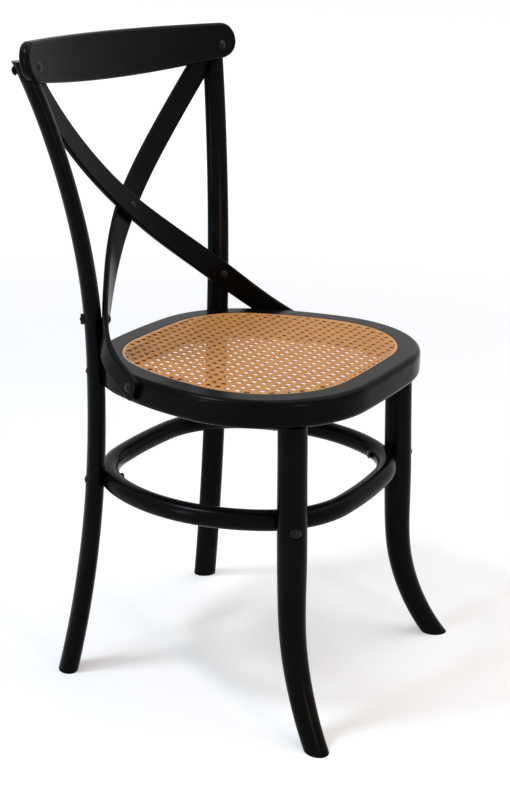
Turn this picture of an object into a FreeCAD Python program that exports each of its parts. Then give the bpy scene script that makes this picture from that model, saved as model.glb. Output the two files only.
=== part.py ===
import FreeCAD, Part
import math
import os

import Sketcher
from FreeCAD import Placement, Rotation, Vector

# Cross back chair with a cane seat, in millimetres.
# +Z is up and the sitter faces -Y. X = 0 is the plane of symmetry, and +X is the sitter's left.
# Every route is worked out from the seat's outline, so a change of the seat carries the legs,
# the leg ring, the back rail and the crossing laths with it.

SIZES = {
    # Seat rim: a bent ring, flatter at the front, with four round corners
    "seat_height": 460.0,
    "rim_height": 37.0,
    "rim_width": 46.0,
    "rim_edge_radius": 8.0,
    "rim_inner_edge_radius": 3.0,
    "front_corner_radius": 160.0,
    "front_corner_reach_side": 222.0,
    "front_corner_reach_front": 195.0,
    "front_edge_bow": 1.2,
    "rear_corner_radius": 151.0,
    "rear_corner_reach_side": 201.0,
    "rear_corner_reach_back": 202.0,
    "rear_edge_bow": 1.8,
    "rim_side_radius": 400.0,
    # Cane sheet, laid in a rebate and held by a reed spline in a groove
    "rim_top_band": 31.6,
    "spline_width": 4.0,
    "spline_depth": 6.0,
    "spline_crown": 0.6,
    "spline_clearance": 0.2,
    "cane_thickness": 2.0,
    "rebate_depth": 3.0,
    "cane_pitch": 17.5,
    "cane_gap": 7.8,
    "cane_solid_edge": 7.0,
    # Rear legs: posts of oval section, bent outwards below and again above the seat; both
    # bends are measured down from the seat
    "rear_leg_polar_angle": 46.4,
    "rear_leg_splay_angle": 42.8,
    "rear_leg_housing_depth": 7.0,
    "rear_leg_lower_bend_drop": 75.0,
    "rear_leg_upper_bend_drop": 30.0,
    "rear_leg_lower_radius": 1669.0,
    "rear_leg_upper_radius": 1018.0,
    "rear_leg_side_lean": 0.0139,
    "rear_leg_top_height": 846.0,
    "rear_leg_foot_width": 34.8,
    "rear_leg_foot_depth": 27.0,
    "rear_leg_top_width": 30.0,
    "rear_leg_top_depth": 21.0,
    # Front legs: round, thickest near the ring, straight above and swept out at the foot
    "front_leg_polar_angle": 40.0,
    "front_leg_inset": 0.8,
    "front_leg_splay_angle": 63.0,
    "front_leg_bend_height": 175.0,
    "front_leg_bend_radius": 300.0,
    "front_leg_rake": 0.041,
    "front_leg_foot_diameter": 31.0,
    "front_leg_belly_diameter": 39.4,
    "front_leg_belly_height": 258.0,
    "front_leg_top_diameter": 37.4,
    "tenon_diameter": 22.0,
    "tenon_length": 24.0,
    "tenon_clearance": 0.15,
    # Leg ring: one bent round bar let into the inner side of all four legs
    "ring_height": 285.7,
    "ring_diameter": 28.0,
    "ring_saddle_depth": 4.8,
    "ring_corner_radius": 130.0,
    "ring_edge_bow": 2.3,
    "ring_side_radius": 222.0,
    "ring_clearance": 0.2,
    # Back rail: a bowed board in front of the posts, measured down from their tops
    "rail_drop": 6.0,
    "rail_bow_radius": 835.0,
    "rail_lean": 10.0,
    "rail_thickness": 15.0,
    "rail_upper_half": 30.6,
    "rail_lower_half": 31.5,
    "rail_half_width": 250.0,
    "rail_lower_rise": 15.0,
    "rail_upper_corner_radius": 24.0,
    "rail_lower_corner_radius": 50.0,
    "rail_edge_radius": 5.0,
    "rail_seat_depth": 3.0,
    "rail_clearance": 0.2,
    # Crossing laths, measured up from the seat, and down from the rail at the top
    "lath_width": 35.0,
    "lath_end_width": 31.0,
    "lath_thickness": 8.0,
    "lath_edge_radius": 2.5,
    "lath_clearance": 0.4,
    "lath_crossing_rise": 172.0,
    "lath_crossing_back": 217.5,
    "lath_crossing_lean": 18.0,
    "lath_top_reach": 206.0,
    "lath_top_drop": 12.0,
    "lath_upper_bow": 10.5,
    "lath_upper_sag": 5.5,
    "lath_post_rise": 53.0,
    "lath_post_angle": 56.5,
    "lath_rim_start_angle": 33.5,
    "lath_rim_start_rise": 18.0,
    "lath_rim_end_angle": 17.3,
    "lath_rim_sag": 2.0,
    "lath_end_overlap": 12.0,
    "lath_end_corner_radius": 7.0,
    "lath_top_overlap": 6.0,
    "lath_top_screw_offset": 9.0,
    # Fasteners
    "bolt_head_diameter": 15.0,
    "bolt_head_height": 3.6,
    "bolt_shank_diameter": 6.0,
    "bolt_tail": 1.0,
    "head_seat_depth": 1.4,
    "nut_seat_depth": 1.0,
    "seat_margin": 0.4,
    "head_clearance": 0.1,
    "seat_head_diameter": 11.0,
    "seat_head_height": 3.2,
    "rail_head_diameter": 12.5,
    "rail_head_height": 2.4,
    "lath_head_diameter": 13.0,
    "lath_head_height": 3.4,
    "bolt_clearance": 0.2,
    "middle_head_diameter": 10.5,
    "middle_head_height": 2.8,
    "top_head_diameter": 8.0,
    "top_head_height": 2.4,
    "top_head_clearance": 0.3,
    "top_screw_grip": 9.0,
    "screw_shank_diameter": 4.0,
    "screw_length": 22.0,
    "square_nut_side": 10.0,
    "square_nut_thickness": 5.0,
    "ring_nut_diameter": 11.0,
    "ring_nut_thickness": 4.5,
    "dome_nut_diameter": 12.5,
    "dome_nut_height": 4.0,
}

doc = FreeCAD.newDocument("cross_back_chair")
sheet = doc.addObject("Spreadsheet::Sheet", "Sizes")
for row, (alias, value) in enumerate(SIZES.items(), start=1):
    sheet.set("A%d" % row, alias)
    sheet.set("B%d" % row, str(value))
    sheet.setAlias("B%d" % row, alias)
doc.recompute()

UP = Vector(0, 0, 1)

# Working lengths that only have to reach past what they cut
RAIL_SLAB_HALF = 60.0
RAIL_SLAB_WIDTH = 1.1
RAIL_TRIM_WIDTH = 1.3
BORE_REACH = 30.0

# Number of sections along each swept piece
REAR_LEG_STATIONS = 9
FRONT_LEG_HALF_STATIONS = 4
LATH_STEPS = (4, 4, 4, 3, 3, 3)

# Corners of a square, counter-clockwise, as steps of half its side
SQUARE = ((-1, -1), (1, -1), (1, 1), (-1, 1))

# Share of a corner's radius between the corner and the middle of its arc
ROUND = 1 - math.sqrt(0.5)


def size(alias):
    """Read one driving size from the sheet."""
    return float(sheet.get(alias))


def bind(thing, prop, expression):
    """Tie a property to cells of the sheet; a cell is written as its alias with a leading @."""
    thing.setExpression(prop, expression.replace("@", "Sizes."))


def flat(angle, radius=1.0):
    """Horizontal vector at an angle in degrees from +X."""
    turn = math.radians(angle)
    return Vector(radius * math.cos(turn), radius * math.sin(turn), 0)


def mirrored(point):
    """The same point on the other side of the chair."""
    return Vector(-point.x, point.y, point.z)


def mix(first, second, share):
    """Blend two numbers or vectors; a share of 0 gives the first."""
    return first * (1 - share) + second * share


# Round-cornered outlines, used by the seat rim and the leg ring


def corner_outline(front_centre, front_radius, front_bow, rear_centre, rear_radius, rear_bow, side_radius):
    """Right half of a symmetric outline as tangent arcs: (centre, radius, start, end), front to rear.

    A flat arc on the plane of symmetry, a front corner, a side arc, a rear corner and a flat
    rear arc follow each other, all with their centres inside the outline.
    """
    front_flat = (front_centre.x ** 2 + (front_radius + front_bow) ** 2 - front_radius ** 2) / (2 * front_bow)
    front_axis = Vector(0, front_centre.y - front_radius - front_bow + front_flat, 0)
    rear_flat = (rear_centre.x ** 2 + (rear_radius + rear_bow) ** 2 - rear_radius ** 2) / (2 * rear_bow)
    rear_axis = Vector(0, rear_centre.y + rear_radius + rear_bow - rear_flat, 0)
    span = rear_centre - front_centre
    to_front = side_radius - front_radius
    to_rear = side_radius - rear_radius
    along = (span.Length ** 2 + to_front ** 2 - to_rear ** 2) / (2 * span.Length)
    away = math.sqrt(to_front ** 2 - along ** 2)
    ahead = span * (1 / span.Length)
    side_centre = front_centre + ahead * along + Vector(-ahead.y, ahead.x, 0) * away

    def heading(start, end):
        return math.degrees(math.atan2(end.y - start.y, end.x - start.x))

    first = heading(front_axis, front_centre)
    second = heading(side_centre, front_centre)
    third = heading(side_centre, rear_centre)
    fourth = heading(rear_axis, rear_centre)
    return [
        (front_axis, front_flat, -90.0, first),
        (front_centre, front_radius, first, second),
        (side_centre, side_radius, second, third),
        (rear_centre, rear_radius, third, fourth),
        (rear_axis, rear_flat, fourth, 90.0),
    ]


def outline_reach(arcs, angle):
    """Distance from the origin to the outline's right half at an angle in degrees."""
    ray = flat(angle)
    for centre, radius, start, end in arcs:
        along = centre.dot(ray)
        root = along ** 2 - centre.dot(centre) + radius ** 2
        if root < 0:
            continue
        point = ray * (along + math.sqrt(root))
        turn = math.degrees(math.atan2(point.y - centre.y, point.x - centre.x))
        if start - 1e-6 <= turn <= end + 1e-6:
            return along + math.sqrt(root)
    raise ValueError("the outline has no point at %.1f degrees" % angle)


def outline_edges(arcs, inset):
    """Whole outline, moved inwards by an inset, as arcs in order round the loop."""
    edges = []
    front, corner, side, rear_corner, rear = arcs

    def arc(centre, radius, start, end):
        circle = Part.Circle(Vector(centre.x, centre.y, 0), UP, radius - inset)
        edges.append(Part.ArcOfCircle(circle, math.radians(start), math.radians(end)))

    arc(front[0], front[1], -180 - front[3], front[3])
    for centre, radius, start, end in (corner, side, rear_corner):
        arc(centre, radius, start, end)
    arc(rear[0], rear[1], rear[2], 180 - rear[2])
    for centre, radius, start, end in (rear_corner, side, corner):
        arc(mirrored(centre), radius, 180 - end, 180 - start)
    return edges


def draw_outline(sketch, arcs, inset):
    """Draw the outline in a sketch and join its arcs end to end."""
    first = sketch.GeometryCount
    edges = outline_edges(arcs, inset)
    for edge in edges:
        sketch.addGeometry(edge, False)
    for index in range(len(edges)):
        following = (index + 1) % len(edges)
        sketch.addConstraint(Sketcher.Constraint("Coincident", first + index, 2, first + following, 1))


def outline_wire(arcs, inset, height):
    """The outline as a wire at a height."""
    wire = Part.Wire([edge.toShape() for edge in outline_edges(arcs, inset)])
    wire.translate(Vector(0, 0, height))
    return wire


# Document helpers


def new_body(label):
    body = doc.addObject("PartDesign::Body", label)
    body.Label = label
    return body


def body_plane(body, role):
    for feature in body.Origin.OriginFeatures:
        if feature.Role == role:
            return feature
    raise ValueError("the body has no plane " + role)


def new_sketch(body, name, role, height=None):
    """Sketch on one of the body's own origin planes, lifted by a bound height where one is given."""
    sketch = body.newObject("Sketcher::SketchObject", name)
    sketch.AttachmentSupport = [(body_plane(body, role), "")]
    sketch.MapMode = "FlatFace"
    if height is not None:
        bind(sketch, "AttachmentOffset.Base.z", height)
    return sketch


def pad(body, sketch, name, length):
    feature = body.newObject("PartDesign::Pad", name)
    feature.Profile = sketch
    bind(feature, "Length", length)
    return feature


def pocket(body, sketch, name, length, upward=False):
    feature = body.newObject("PartDesign::Pocket", name)
    feature.Profile = sketch
    feature.Reversed = upward
    bind(feature, "Length", length)
    return feature


def fillet(body, base, name, radius, wanted):
    """Round the edges of a feature whose middle point satisfies a test."""
    doc.recompute()
    names = []
    for index, edge in enumerate(base.Shape.Edges, start=1):
        middle = edge.valueAt((edge.FirstParameter + edge.LastParameter) / 2)
        if wanted(middle):
            names.append("Edge%d" % index)
    feature = body.newObject("PartDesign::Fillet", name)
    feature.Base = (base, names)
    bind(feature, "Radius", radius)
    return feature


def cut(label, base, tools):
    """Base with several tools taken away, under the sub-part's own label."""
    tool = doc.addObject("Part::Compound", label + "_tools")
    tool.Links = tools
    feature = doc.addObject("Part::Cut", label)
    feature.Label = label
    feature.Base = base
    feature.Tool = tool
    return feature


def hole(name, start, direction, length, radius):
    """Cylinder used to bore one hole, from a point along a direction."""
    tool = doc.addObject("Part::Cylinder", name)
    bind(tool, "Radius", radius)
    tool.Height = length
    tool.Placement = Placement(start, Rotation(UP, direction))
    return tool


def holes_both_sides(name, start, direction, length, radius):
    """The same hole on both sides of the chair."""
    left = hole(name + "Left", start, direction, length, radius)
    right = hole(name + "Right", mirrored(start), mirrored(direction), length, radius)
    return [left, right]


def mirror(label, source):
    """The same piece on the other side of the chair."""
    feature = doc.addObject("Part::Mirroring", label)
    feature.Label = label
    feature.Source = source
    feature.Base = Vector(0, 0, 0)
    feature.Normal = Vector(1, 0, 0)
    return feature


def solid_feature(label, shape):
    feature = doc.addObject("Part::Feature", label)
    feature.Label = label
    feature.Shape = shape
    return feature


# Radii of the bores and of the flat seats under heads and nuts

BOLT_BORE = "@bolt_shank_diameter / 2 + @bolt_clearance"
SCREW_BORE = "@screw_shank_diameter / 2 + @bolt_clearance"
BOLT_HEAD_SEAT = "@bolt_head_diameter / 2 + @seat_margin"
SEAT_HEAD_SEAT = "@seat_head_diameter / 2 + @seat_margin"
ROUND_NUT_SEAT = "@ring_nut_diameter / 2 + @seat_margin"
DOME_NUT_SEAT = "@dome_nut_diameter / 2 + @seat_margin"
SQUARE_NUT_SEAT = "@square_nut_side * sqrt(2) / 2 + @seat_margin"

# Driving outlines and routes

SEAT_TOP = size("seat_height")
RIM_BOTTOM = SEAT_TOP - size("rim_height")
RIM_MIDDLE = SEAT_TOP - size("rim_height") / 2
LOWER_BEND = SEAT_TOP - size("rear_leg_lower_bend_drop")
UPPER_BEND = SEAT_TOP - size("rear_leg_upper_bend_drop")


def corner_centre(corner, end, sign):
    """Centre of the front or rear corner arc, from how far it reaches sideways and to its end."""
    radius = size(corner + "_corner_radius")
    across = size(corner + "_corner_reach_side") - radius
    return Vector(across, sign * (size(corner + "_corner_reach_" + end) - radius), 0)


SEAT = corner_outline(
    corner_centre("front", "front", -1),
    size("front_corner_radius"),
    size("front_edge_bow"),
    corner_centre("rear", "back", 1),
    size("rear_corner_radius"),
    size("rear_edge_bow"),
    size("rim_side_radius"),
)

REAR_POLAR = size("rear_leg_polar_angle")
FRONT_POLAR = -size("front_leg_polar_angle")


def rear_leg_shares(height):
    """Share of the way up the rear leg, from the foot to the top."""
    return height / size("rear_leg_top_height")


def rear_leg_width(height):
    return mix(size("rear_leg_foot_width"), size("rear_leg_top_width"), rear_leg_shares(height))


def rear_leg_depth(height):
    return mix(size("rear_leg_foot_depth"), size("rear_leg_top_depth"), rear_leg_shares(height))


def rear_leg_bend(height):
    """Radius of the leg's bend that this height lies in, and how far the height is into it.

    The distance is negative in the lower bend and 0 in the straight stretch between the bends.
    """
    if height < LOWER_BEND:
        return size("rear_leg_lower_radius"), height - LOWER_BEND
    return size("rear_leg_upper_radius"), max(0.0, height - UPPER_BEND)


def rear_leg_slope(height):
    """Angle of the leg from upright, in radians, in its splay plane."""
    radius, beyond = rear_leg_bend(height)
    return math.asin(beyond / radius)


def rear_leg_centre(height):
    """Centre of the left rear leg at a height."""
    seat_depth = rear_leg_depth(RIM_MIDDLE)
    knee = flat(REAR_POLAR, outline_reach(SEAT, REAR_POLAR) + seat_depth / 2 - size("rear_leg_housing_depth"))
    radius, _ = rear_leg_bend(height)
    swing = radius * (1 - math.cos(rear_leg_slope(height)))
    sideways = size("rear_leg_side_lean") * (LOWER_BEND - height)
    splay = size("rear_leg_splay_angle")
    return knee + flat(splay, swing) + flat(splay + 90, sideways) + UP * height


def front_leg_diameter(height):
    belly = size("front_leg_belly_height")
    if height < belly:
        return mix(size("front_leg_foot_diameter"), size("front_leg_belly_diameter"), height / belly)
    share = (height - belly) / (RIM_BOTTOM - belly)
    return mix(size("front_leg_belly_diameter"), size("front_leg_top_diameter"), share)


def front_leg_slope(height):
    """Angle of the leg's curved foot from upright, in radians."""
    below = max(0.0, size("front_leg_bend_height") - height)
    return math.asin(below / size("front_leg_bend_radius"))


def front_leg_centre(height):
    """Centre of the left front leg at a height."""
    reach = outline_reach(SEAT, FRONT_POLAR) - size("front_leg_top_diameter") / 2 - size("front_leg_inset")
    swing = size("front_leg_bend_radius") * (1 - math.cos(front_leg_slope(height)))
    swing += size("front_leg_rake") * (RIM_BOTTOM - height)
    return flat(FRONT_POLAR, reach) + flat(-size("front_leg_splay_angle"), swing) + UP * height


# Leg ring, worked out from where the four legs stand at its height

RING_HEIGHT = size("ring_height")
RING_RADIUS = size("ring_diameter") / 2
rear_at_ring = rear_leg_centre(RING_HEIGHT)
front_at_ring = front_leg_centre(RING_HEIGHT)
RING_CENTRE = Vector(0, (rear_at_ring.y + front_at_ring.y) / 2, RING_HEIGHT)
rear_from_ring = rear_at_ring - RING_CENTRE
front_from_ring = front_at_ring - RING_CENTRE
ring_drawn_in = RING_RADIUS - size("ring_saddle_depth")
rear_ring_reach = rear_from_ring.Length - rear_leg_depth(RING_HEIGHT) / 2 - ring_drawn_in
front_ring_reach = front_from_ring.Length - front_leg_diameter(RING_HEIGHT) / 2 - ring_drawn_in
rear_ring_way = rear_from_ring * (1 / rear_from_ring.Length)
front_ring_way = front_from_ring * (1 / front_from_ring.Length)
RING = corner_outline(
    front_ring_way * (front_ring_reach - size("ring_corner_radius")),
    size("ring_corner_radius"),
    size("ring_edge_bow"),
    rear_ring_way * (rear_ring_reach - size("ring_corner_radius")),
    size("ring_corner_radius"),
    size("ring_edge_bow"),
    size("ring_side_radius"),
)


# Back rail: where its front face lies

RAIL_LEAN = math.radians(size("rail_lean"))
RAIL_MIDDLE = size("rear_leg_top_height") - size("rail_drop")
RAIL_REAR_OFFSET = size("rail_thickness") / math.cos(RAIL_LEAN)
post_at_rail = rear_leg_centre(RAIL_MIDDLE)
BOW = size("rail_bow_radius")


def bow_drop(across):
    """How far the bowed board comes forward at a distance from the plane of symmetry."""
    return BOW - math.sqrt(BOW ** 2 - across ** 2)


post_face = post_at_rail.y - rear_leg_depth(RAIL_MIDDLE) / 2
RAIL_FRONT = post_face + size("rail_seat_depth") - RAIL_REAR_OFFSET + bow_drop(post_at_rail.x)
from_bow_centre = Vector(post_at_rail.x, post_at_rail.y - RAIL_FRONT + BOW, 0)
RAIL_BOLT_ACROSS = BOW * post_at_rail.x / from_bow_centre.Length


def rail_front(across, height):
    """Point on the rail's front face."""
    lean = (height - RAIL_MIDDLE) * math.tan(RAIL_LEAN)
    return Vector(across, RAIL_FRONT - bow_drop(across) + lean, height)


def rail_rear(across, height):
    """Point on the rail's rear face."""
    return rail_front(across, height) + Vector(0, RAIL_REAR_OFFSET, 0)


# Seat frame


def make_seat_frame():
    """Bent rim with round outer edges, a rebate for the cane and a groove for its spline."""
    body = new_body("seat_rim_blank")
    body.Placement = Placement(Vector(0, 0, RIM_BOTTOM), Rotation())
    outer = new_sketch(body, "RimOutline", "XY_Plane")
    draw_outline(outer, SEAT, 0)
    pad(body, outer, "RimPad", "@rim_height")
    inner = new_sketch(body, "RimOpening", "XY_Plane", "@rim_height")
    draw_outline(inner, SEAT, size("rim_width"))
    pocket(body, inner, "RimOpeningPocket", "@rim_height")
    ledge = new_sketch(body, "CaneRebate", "XY_Plane", "@rim_height")
    draw_outline(ledge, SEAT, size("rim_top_band"))
    pocket(body, ledge, "CaneRebatePocket", "@rebate_depth")
    channel = new_sketch(body, "SplineGroove", "XY_Plane", "@rim_height")
    draw_outline(channel, SEAT, size("rim_top_band"))
    draw_outline(channel, SEAT, size("rim_top_band") + size("spline_width") + 2 * size("spline_clearance"))
    pocket(body, channel, "SplineGroovePocket", "@spline_depth + @spline_clearance")
    mortises = new_sketch(body, "TenonMortises", "XY_Plane")
    for side in (1, -1):
        centre = front_leg_centre(RIM_BOTTOM)
        circle = Part.Circle(Vector(side * centre.x, centre.y, 0), UP, size("tenon_diameter") / 2)
        index = mortises.addGeometry(circle, False)
        mortises.addConstraint(Sketcher.Constraint("Radius", index, size("tenon_diameter") / 2))
        bind(mortises, "Constraints[%d]" % index, "@tenon_diameter / 2 + @tenon_clearance")
    sockets = pocket(body, mortises, "TenonMortisePocket", "@tenon_length + @tenon_clearance", upward=True)
    height = size("rim_height")

    def at_outer_edge(point):
        polar = math.degrees(math.atan2(point.y, abs(point.x)))
        near_outline = abs(math.hypot(point.x, point.y) - outline_reach(SEAT, polar)) < 0.5
        return near_outline and (abs(point.z) < 0.1 or abs(point.z - height) < 0.1)

    def at_inner_bottom(point):
        polar = math.degrees(math.atan2(point.y, abs(point.x)))
        inner_reach = math.hypot(point.x, point.y) < outline_reach(SEAT, polar) - size("rim_width") + 2
        return inner_reach and abs(point.z) < 0.1

    rounded = fillet(body, sockets, "RimEdgeFillet", "@rim_edge_radius", at_outer_edge)
    fillet(body, rounded, "RimInnerFillet", "@rim_inner_edge_radius", at_inner_bottom)
    way = flat(REAR_POLAR)
    bores = holes_both_sides("RimBoltBore", seat_bolt_start(), way * -1, 4 * BORE_REACH, BOLT_BORE)
    bores += holes_both_sides("RimNutSeat", seat_nut_start(), way * -1, BORE_REACH, ROUND_NUT_SEAT)
    start, direction = lath_screw(1)
    depth = size("screw_length") + size("bolt_tail")
    bores += holes_both_sides("RimScrewBore", start, direction, depth, SCREW_BORE)
    return cut("seat_frame", body, bores)


def make_cane_panel():
    """Flat net of cane: one face with square gaps, all inside its solid edge."""
    inset = size("rim_top_band") + size("spline_width") + 2 * size("spline_clearance")
    edge = outline_wire(SEAT, inset, 0)
    pitch = size("cane_pitch")
    half = size("cane_gap") / 2
    limit = inset + size("cane_solid_edge")
    rows = int(size("front_corner_reach_side") / pitch) + 2
    gaps = []
    for row in range(-rows, rows + 1):
        for column in range(-rows, rows + 1):
            centre = Vector(column * pitch, row * pitch, 0)
            corners = [centre + Vector(x * half, y * half, 0) for x, y in SQUARE]
            if all(inside_outline(corner, limit) for corner in corners):
                gaps.append(Part.makePolygon(corners + [corners[0]]))
    print("gaps in the cane net:", len(gaps))
    net = Part.makeFace([edge] + gaps, "Part::FaceMakerBullseye").extrude(UP * size("cane_thickness"))
    net.translate(UP * (SEAT_TOP - size("rebate_depth")))
    return solid_feature("cane_panel", net)


def inside_outline(point, inset):
    """Whether a point lies at least an inset within the seat's outline."""
    if point.Length < inset:
        return True
    polar = math.degrees(math.atan2(point.y, abs(point.x)))
    return point.Length < outline_reach(SEAT, polar) - inset


def make_cane_spline():
    """Reed bead pressed into the groove over the edge of the cane."""
    body = new_body("cane_spline")
    bottom = SEAT_TOP - size("spline_depth")
    body.Placement = Placement(Vector(0, 0, bottom), Rotation())
    ring = new_sketch(body, "SplineOutline", "XY_Plane")
    start = size("rim_top_band") + size("spline_clearance")
    draw_outline(ring, SEAT, start)
    draw_outline(ring, SEAT, start + size("spline_width"))
    bead = pad(body, ring, "SplinePad", "@spline_depth - @spline_crown / 2")
    height = size("spline_depth") - size("spline_crown") / 2
    fillet(body, bead, "SplineCrown", "@spline_crown", lambda point: abs(point.z - height) < 0.1)
    return body


# Legs


def leg_section(name, centre, angle, major, minor):
    """Level oval section of a leg; major and minor are expressions for the whole axes."""
    section = doc.addObject("Part::Ellipse", name)
    bind(section, "MajorRadius", "(%s) / 2" % major)
    bind(section, "MinorRadius", "(%s) / 2" % minor)
    section.Placement = Placement(centre, Rotation(UP, angle))
    return section


def leg_loft(label, sections):
    loft = doc.addObject("Part::Loft", label)
    loft.Sections = sections
    loft.Solid = True
    loft.Ruled = False
    loft.MaxDegree = 5
    return loft


def make_rear_leg_blank():
    """Loft of level ovals along the bent post, from the floor to its cut top."""
    sections = []
    for index in range(REAR_LEG_STATIONS):
        share = index / (REAR_LEG_STATIONS - 1)
        height = size("rear_leg_top_height") * share
        stretch = 1 / math.cos(rear_leg_slope(height))
        width = "@rear_leg_foot_width * %r + @rear_leg_top_width * %r" % (1 - share, share)
        depth = "(@rear_leg_foot_depth * %r + @rear_leg_top_depth * %r) * %r" % (1 - share, share, stretch)
        angle = size("rear_leg_splay_angle") + 90
        sections.append(leg_section("RearLegSection%d" % index, rear_leg_centre(height), angle, width, depth))
    return leg_loft("rear_leg_blank", sections)


def make_front_leg_blank():
    """Loft of level ovals, straight and raked above and swept out at the foot, with a tenon."""
    sections = []
    bend = size("front_leg_bend_height")
    steps = FRONT_LEG_HALF_STATIONS
    heights = [bend * index / steps for index in range(steps)]
    heights += [mix(bend, RIM_BOTTOM, index / steps) for index in range(steps + 1)]
    for index, height in enumerate(heights):
        diameter = repr(front_leg_diameter(height))
        stretch = 1 / math.cos(front_leg_slope(height))
        angle = -size("front_leg_splay_angle")
        major = "%s * %r" % (diameter, stretch)
        label = "FrontLegSection%d" % index
        sections.append(leg_section(label, front_leg_centre(height), angle, major, diameter))
    shaft = leg_loft("front_leg_shaft", sections)
    tenon = doc.addObject("Part::Cylinder", "front_leg_tenon")
    bind(tenon, "Radius", "@tenon_diameter / 2 - @tenon_clearance")
    bind(tenon, "Height", "@tenon_length")
    tenon.Placement = Placement(front_leg_centre(RIM_BOTTOM), Rotation())
    leg = doc.addObject("Part::Fuse", "front_leg_blank")
    leg.Base = shaft
    leg.Tool = tenon
    return leg


def make_leg_ring(blank):
    """The ring, bored for its four bolts, with flat seats for their nuts."""
    tools = []
    for name, leg, way, half, reach in ring_joints():
        tools += holes_both_sides(name + "RingBolt", leg, way * -1, 3 * BORE_REACH, BOLT_BORE)
        nut = ring_nut_start(way, reach)
        tools += holes_both_sides(name + "RingNutSeat", nut, way * -1, BORE_REACH, ROUND_NUT_SEAT)
    return cut("leg_ring", blank, tools)


def ring_joints():
    """For each left leg: name, centre, direction out of the ring, half thickness and the ring's reach."""
    rear_half = oval_support(RING_HEIGHT, polar_angle(rear_ring_way))
    front_half = front_leg_diameter(RING_HEIGHT) / 2
    return (
        ("Rear", rear_at_ring, rear_ring_way, rear_half, rear_ring_reach),
        ("Front", front_at_ring, front_ring_way, front_half, front_ring_reach),
    )


def ring_nut_start(way, reach):
    """Seat of a nut on the ring's inner side."""
    return RING_CENTRE + way * (reach - RING_RADIUS + size("nut_seat_depth"))


def make_ring_bar(name, radius):
    """Bent bar of round section along the ring's outline."""
    body = new_body(name)
    body.Placement = Placement(RING_CENTRE, Rotation())
    path = new_sketch(body, name + "_path", "XY_Plane")
    draw_outline(path, RING, 0)
    profile = new_sketch(body, name + "_profile", "YZ_Plane")
    front_centre, front_radius = RING[0][0], RING[0][1]
    circle = Part.Circle(Vector(front_centre.y - front_radius, 0, 0), UP, size("ring_diameter") / 2)
    profile.addGeometry(circle, False)
    profile.addConstraint(Sketcher.Constraint("Radius", 0, size("ring_diameter") / 2))
    bind(profile, "Constraints[0]", radius)
    bar = body.newObject("PartDesign::AdditivePipe", name + "_bar")
    bar.Profile = profile
    bar.Spine = path
    return body


def make_front_leg(ring_tool):
    """Left front leg, housed over the ring, bored for its bolt and flattened under the bolt's head."""
    blank = make_front_leg_blank()
    name, leg, way, half, reach = ring_joints()[1]
    bore = hole("FrontLegBore", leg + way * BORE_REACH, way * -1, 2 * BORE_REACH, BOLT_BORE)
    head = hole("FrontLegHeadSeat", head_start(leg, way, half), way, BORE_REACH, BOLT_HEAD_SEAT)
    return cut("front_leg_left", blank, [ring_tool, bore, head])


def make_rear_leg(ring_tool, rim_tool, rail_tool):
    """Left rear leg, housed over the ring, the seat rim and the back rail, and bored for four bolts."""
    blank = make_rear_leg_blank()
    tools = [ring_tool, rim_tool, rail_tool]
    name, leg, way, half, reach = ring_joints()[0]
    tools.append(hole("RearLegRingBore", leg + way * BORE_REACH, way * -1, 2 * BORE_REACH, BOLT_BORE))
    tools.append(hole("RearLegHeadSeat", head_start(leg, way, half), way, BORE_REACH, BOLT_HEAD_SEAT))
    way = flat(REAR_POLAR)
    start = seat_bolt_start()
    tools.append(hole("SeatBore", start + way * BORE_REACH, way * -1, 3 * BORE_REACH, BOLT_BORE))
    tools.append(hole("SeatHeadSeat", start, way, BORE_REACH, SEAT_HEAD_SEAT))
    way = rail_normal(RAIL_BOLT_ACROSS) * -1
    tools.append(hole("PostRailBore", rail_bolt_start(), way, 3 * BORE_REACH, BOLT_BORE))
    tools.append(hole("PostNutSeat", rail_nut_start(), way, BORE_REACH, DOME_NUT_SEAT))
    way = flat(size("lath_post_angle"))
    tools.append(hole("PostLathBore", post_at_lath - way * BORE_REACH, way, 2 * BORE_REACH, SCREW_BORE))
    tools.append(hole("SquareNutSeat", square_nut_start(), way, BORE_REACH, SQUARE_NUT_SEAT))
    return cut("rear_leg_left", blank, tools)


def head_start(leg, way, half):
    """Seat of a bolt head, let into a leg of a given half thickness."""
    return leg + way * (half - size("head_seat_depth"))


def seat_bolt_start():
    """Seat of the seat bolt's head, on the outer side of the left rear leg."""
    post = rear_leg_centre(RIM_MIDDLE)
    return head_start(post, flat(REAR_POLAR), oval_support(post.z, REAR_POLAR))


def seat_nut_start():
    """Seat of the seat bolt's nut, on the rim's inner side, in line with the bolt."""
    reach = outline_reach(SEAT, REAR_POLAR) - size("rim_width") + size("nut_seat_depth")
    start, way = seat_bolt_start(), flat(REAR_POLAR)
    return start - way * (start.dot(way) - reach)


def rail_bolt_start():
    """Seat of the rail bolt's head, on the rail's front face."""
    across = RAIL_BOLT_ACROSS
    return rail_front(across, RAIL_MIDDLE) + rail_normal(across) * size("head_clearance")


def rail_nut_start():
    """Seat of the domed nut, let into the post's rear side."""
    way = rail_normal(RAIL_BOLT_ACROSS) * -1
    start = rail_bolt_start()
    to_post = (post_at_rail - start).dot(way)
    return start + way * (to_post + oval_support(RAIL_MIDDLE, polar_angle(way)) - size("nut_seat_depth"))


def square_nut_start():
    """Seat of the square nut, let into the post behind the lath."""
    way = size("lath_post_angle")
    return post_at_lath + flat(way, oval_support(post_at_lath.z, way) - size("nut_seat_depth"))


def oval_support(height, angle):
    """Distance from the rear leg's centre to its side in a level direction."""
    turn = math.radians(angle - size("rear_leg_splay_angle"))
    stretch = 1 / math.cos(rear_leg_slope(height))
    depth = rear_leg_depth(height) * stretch / 2
    width = rear_leg_width(height) / 2
    return math.hypot(depth * math.cos(turn), width * math.sin(turn))


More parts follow.
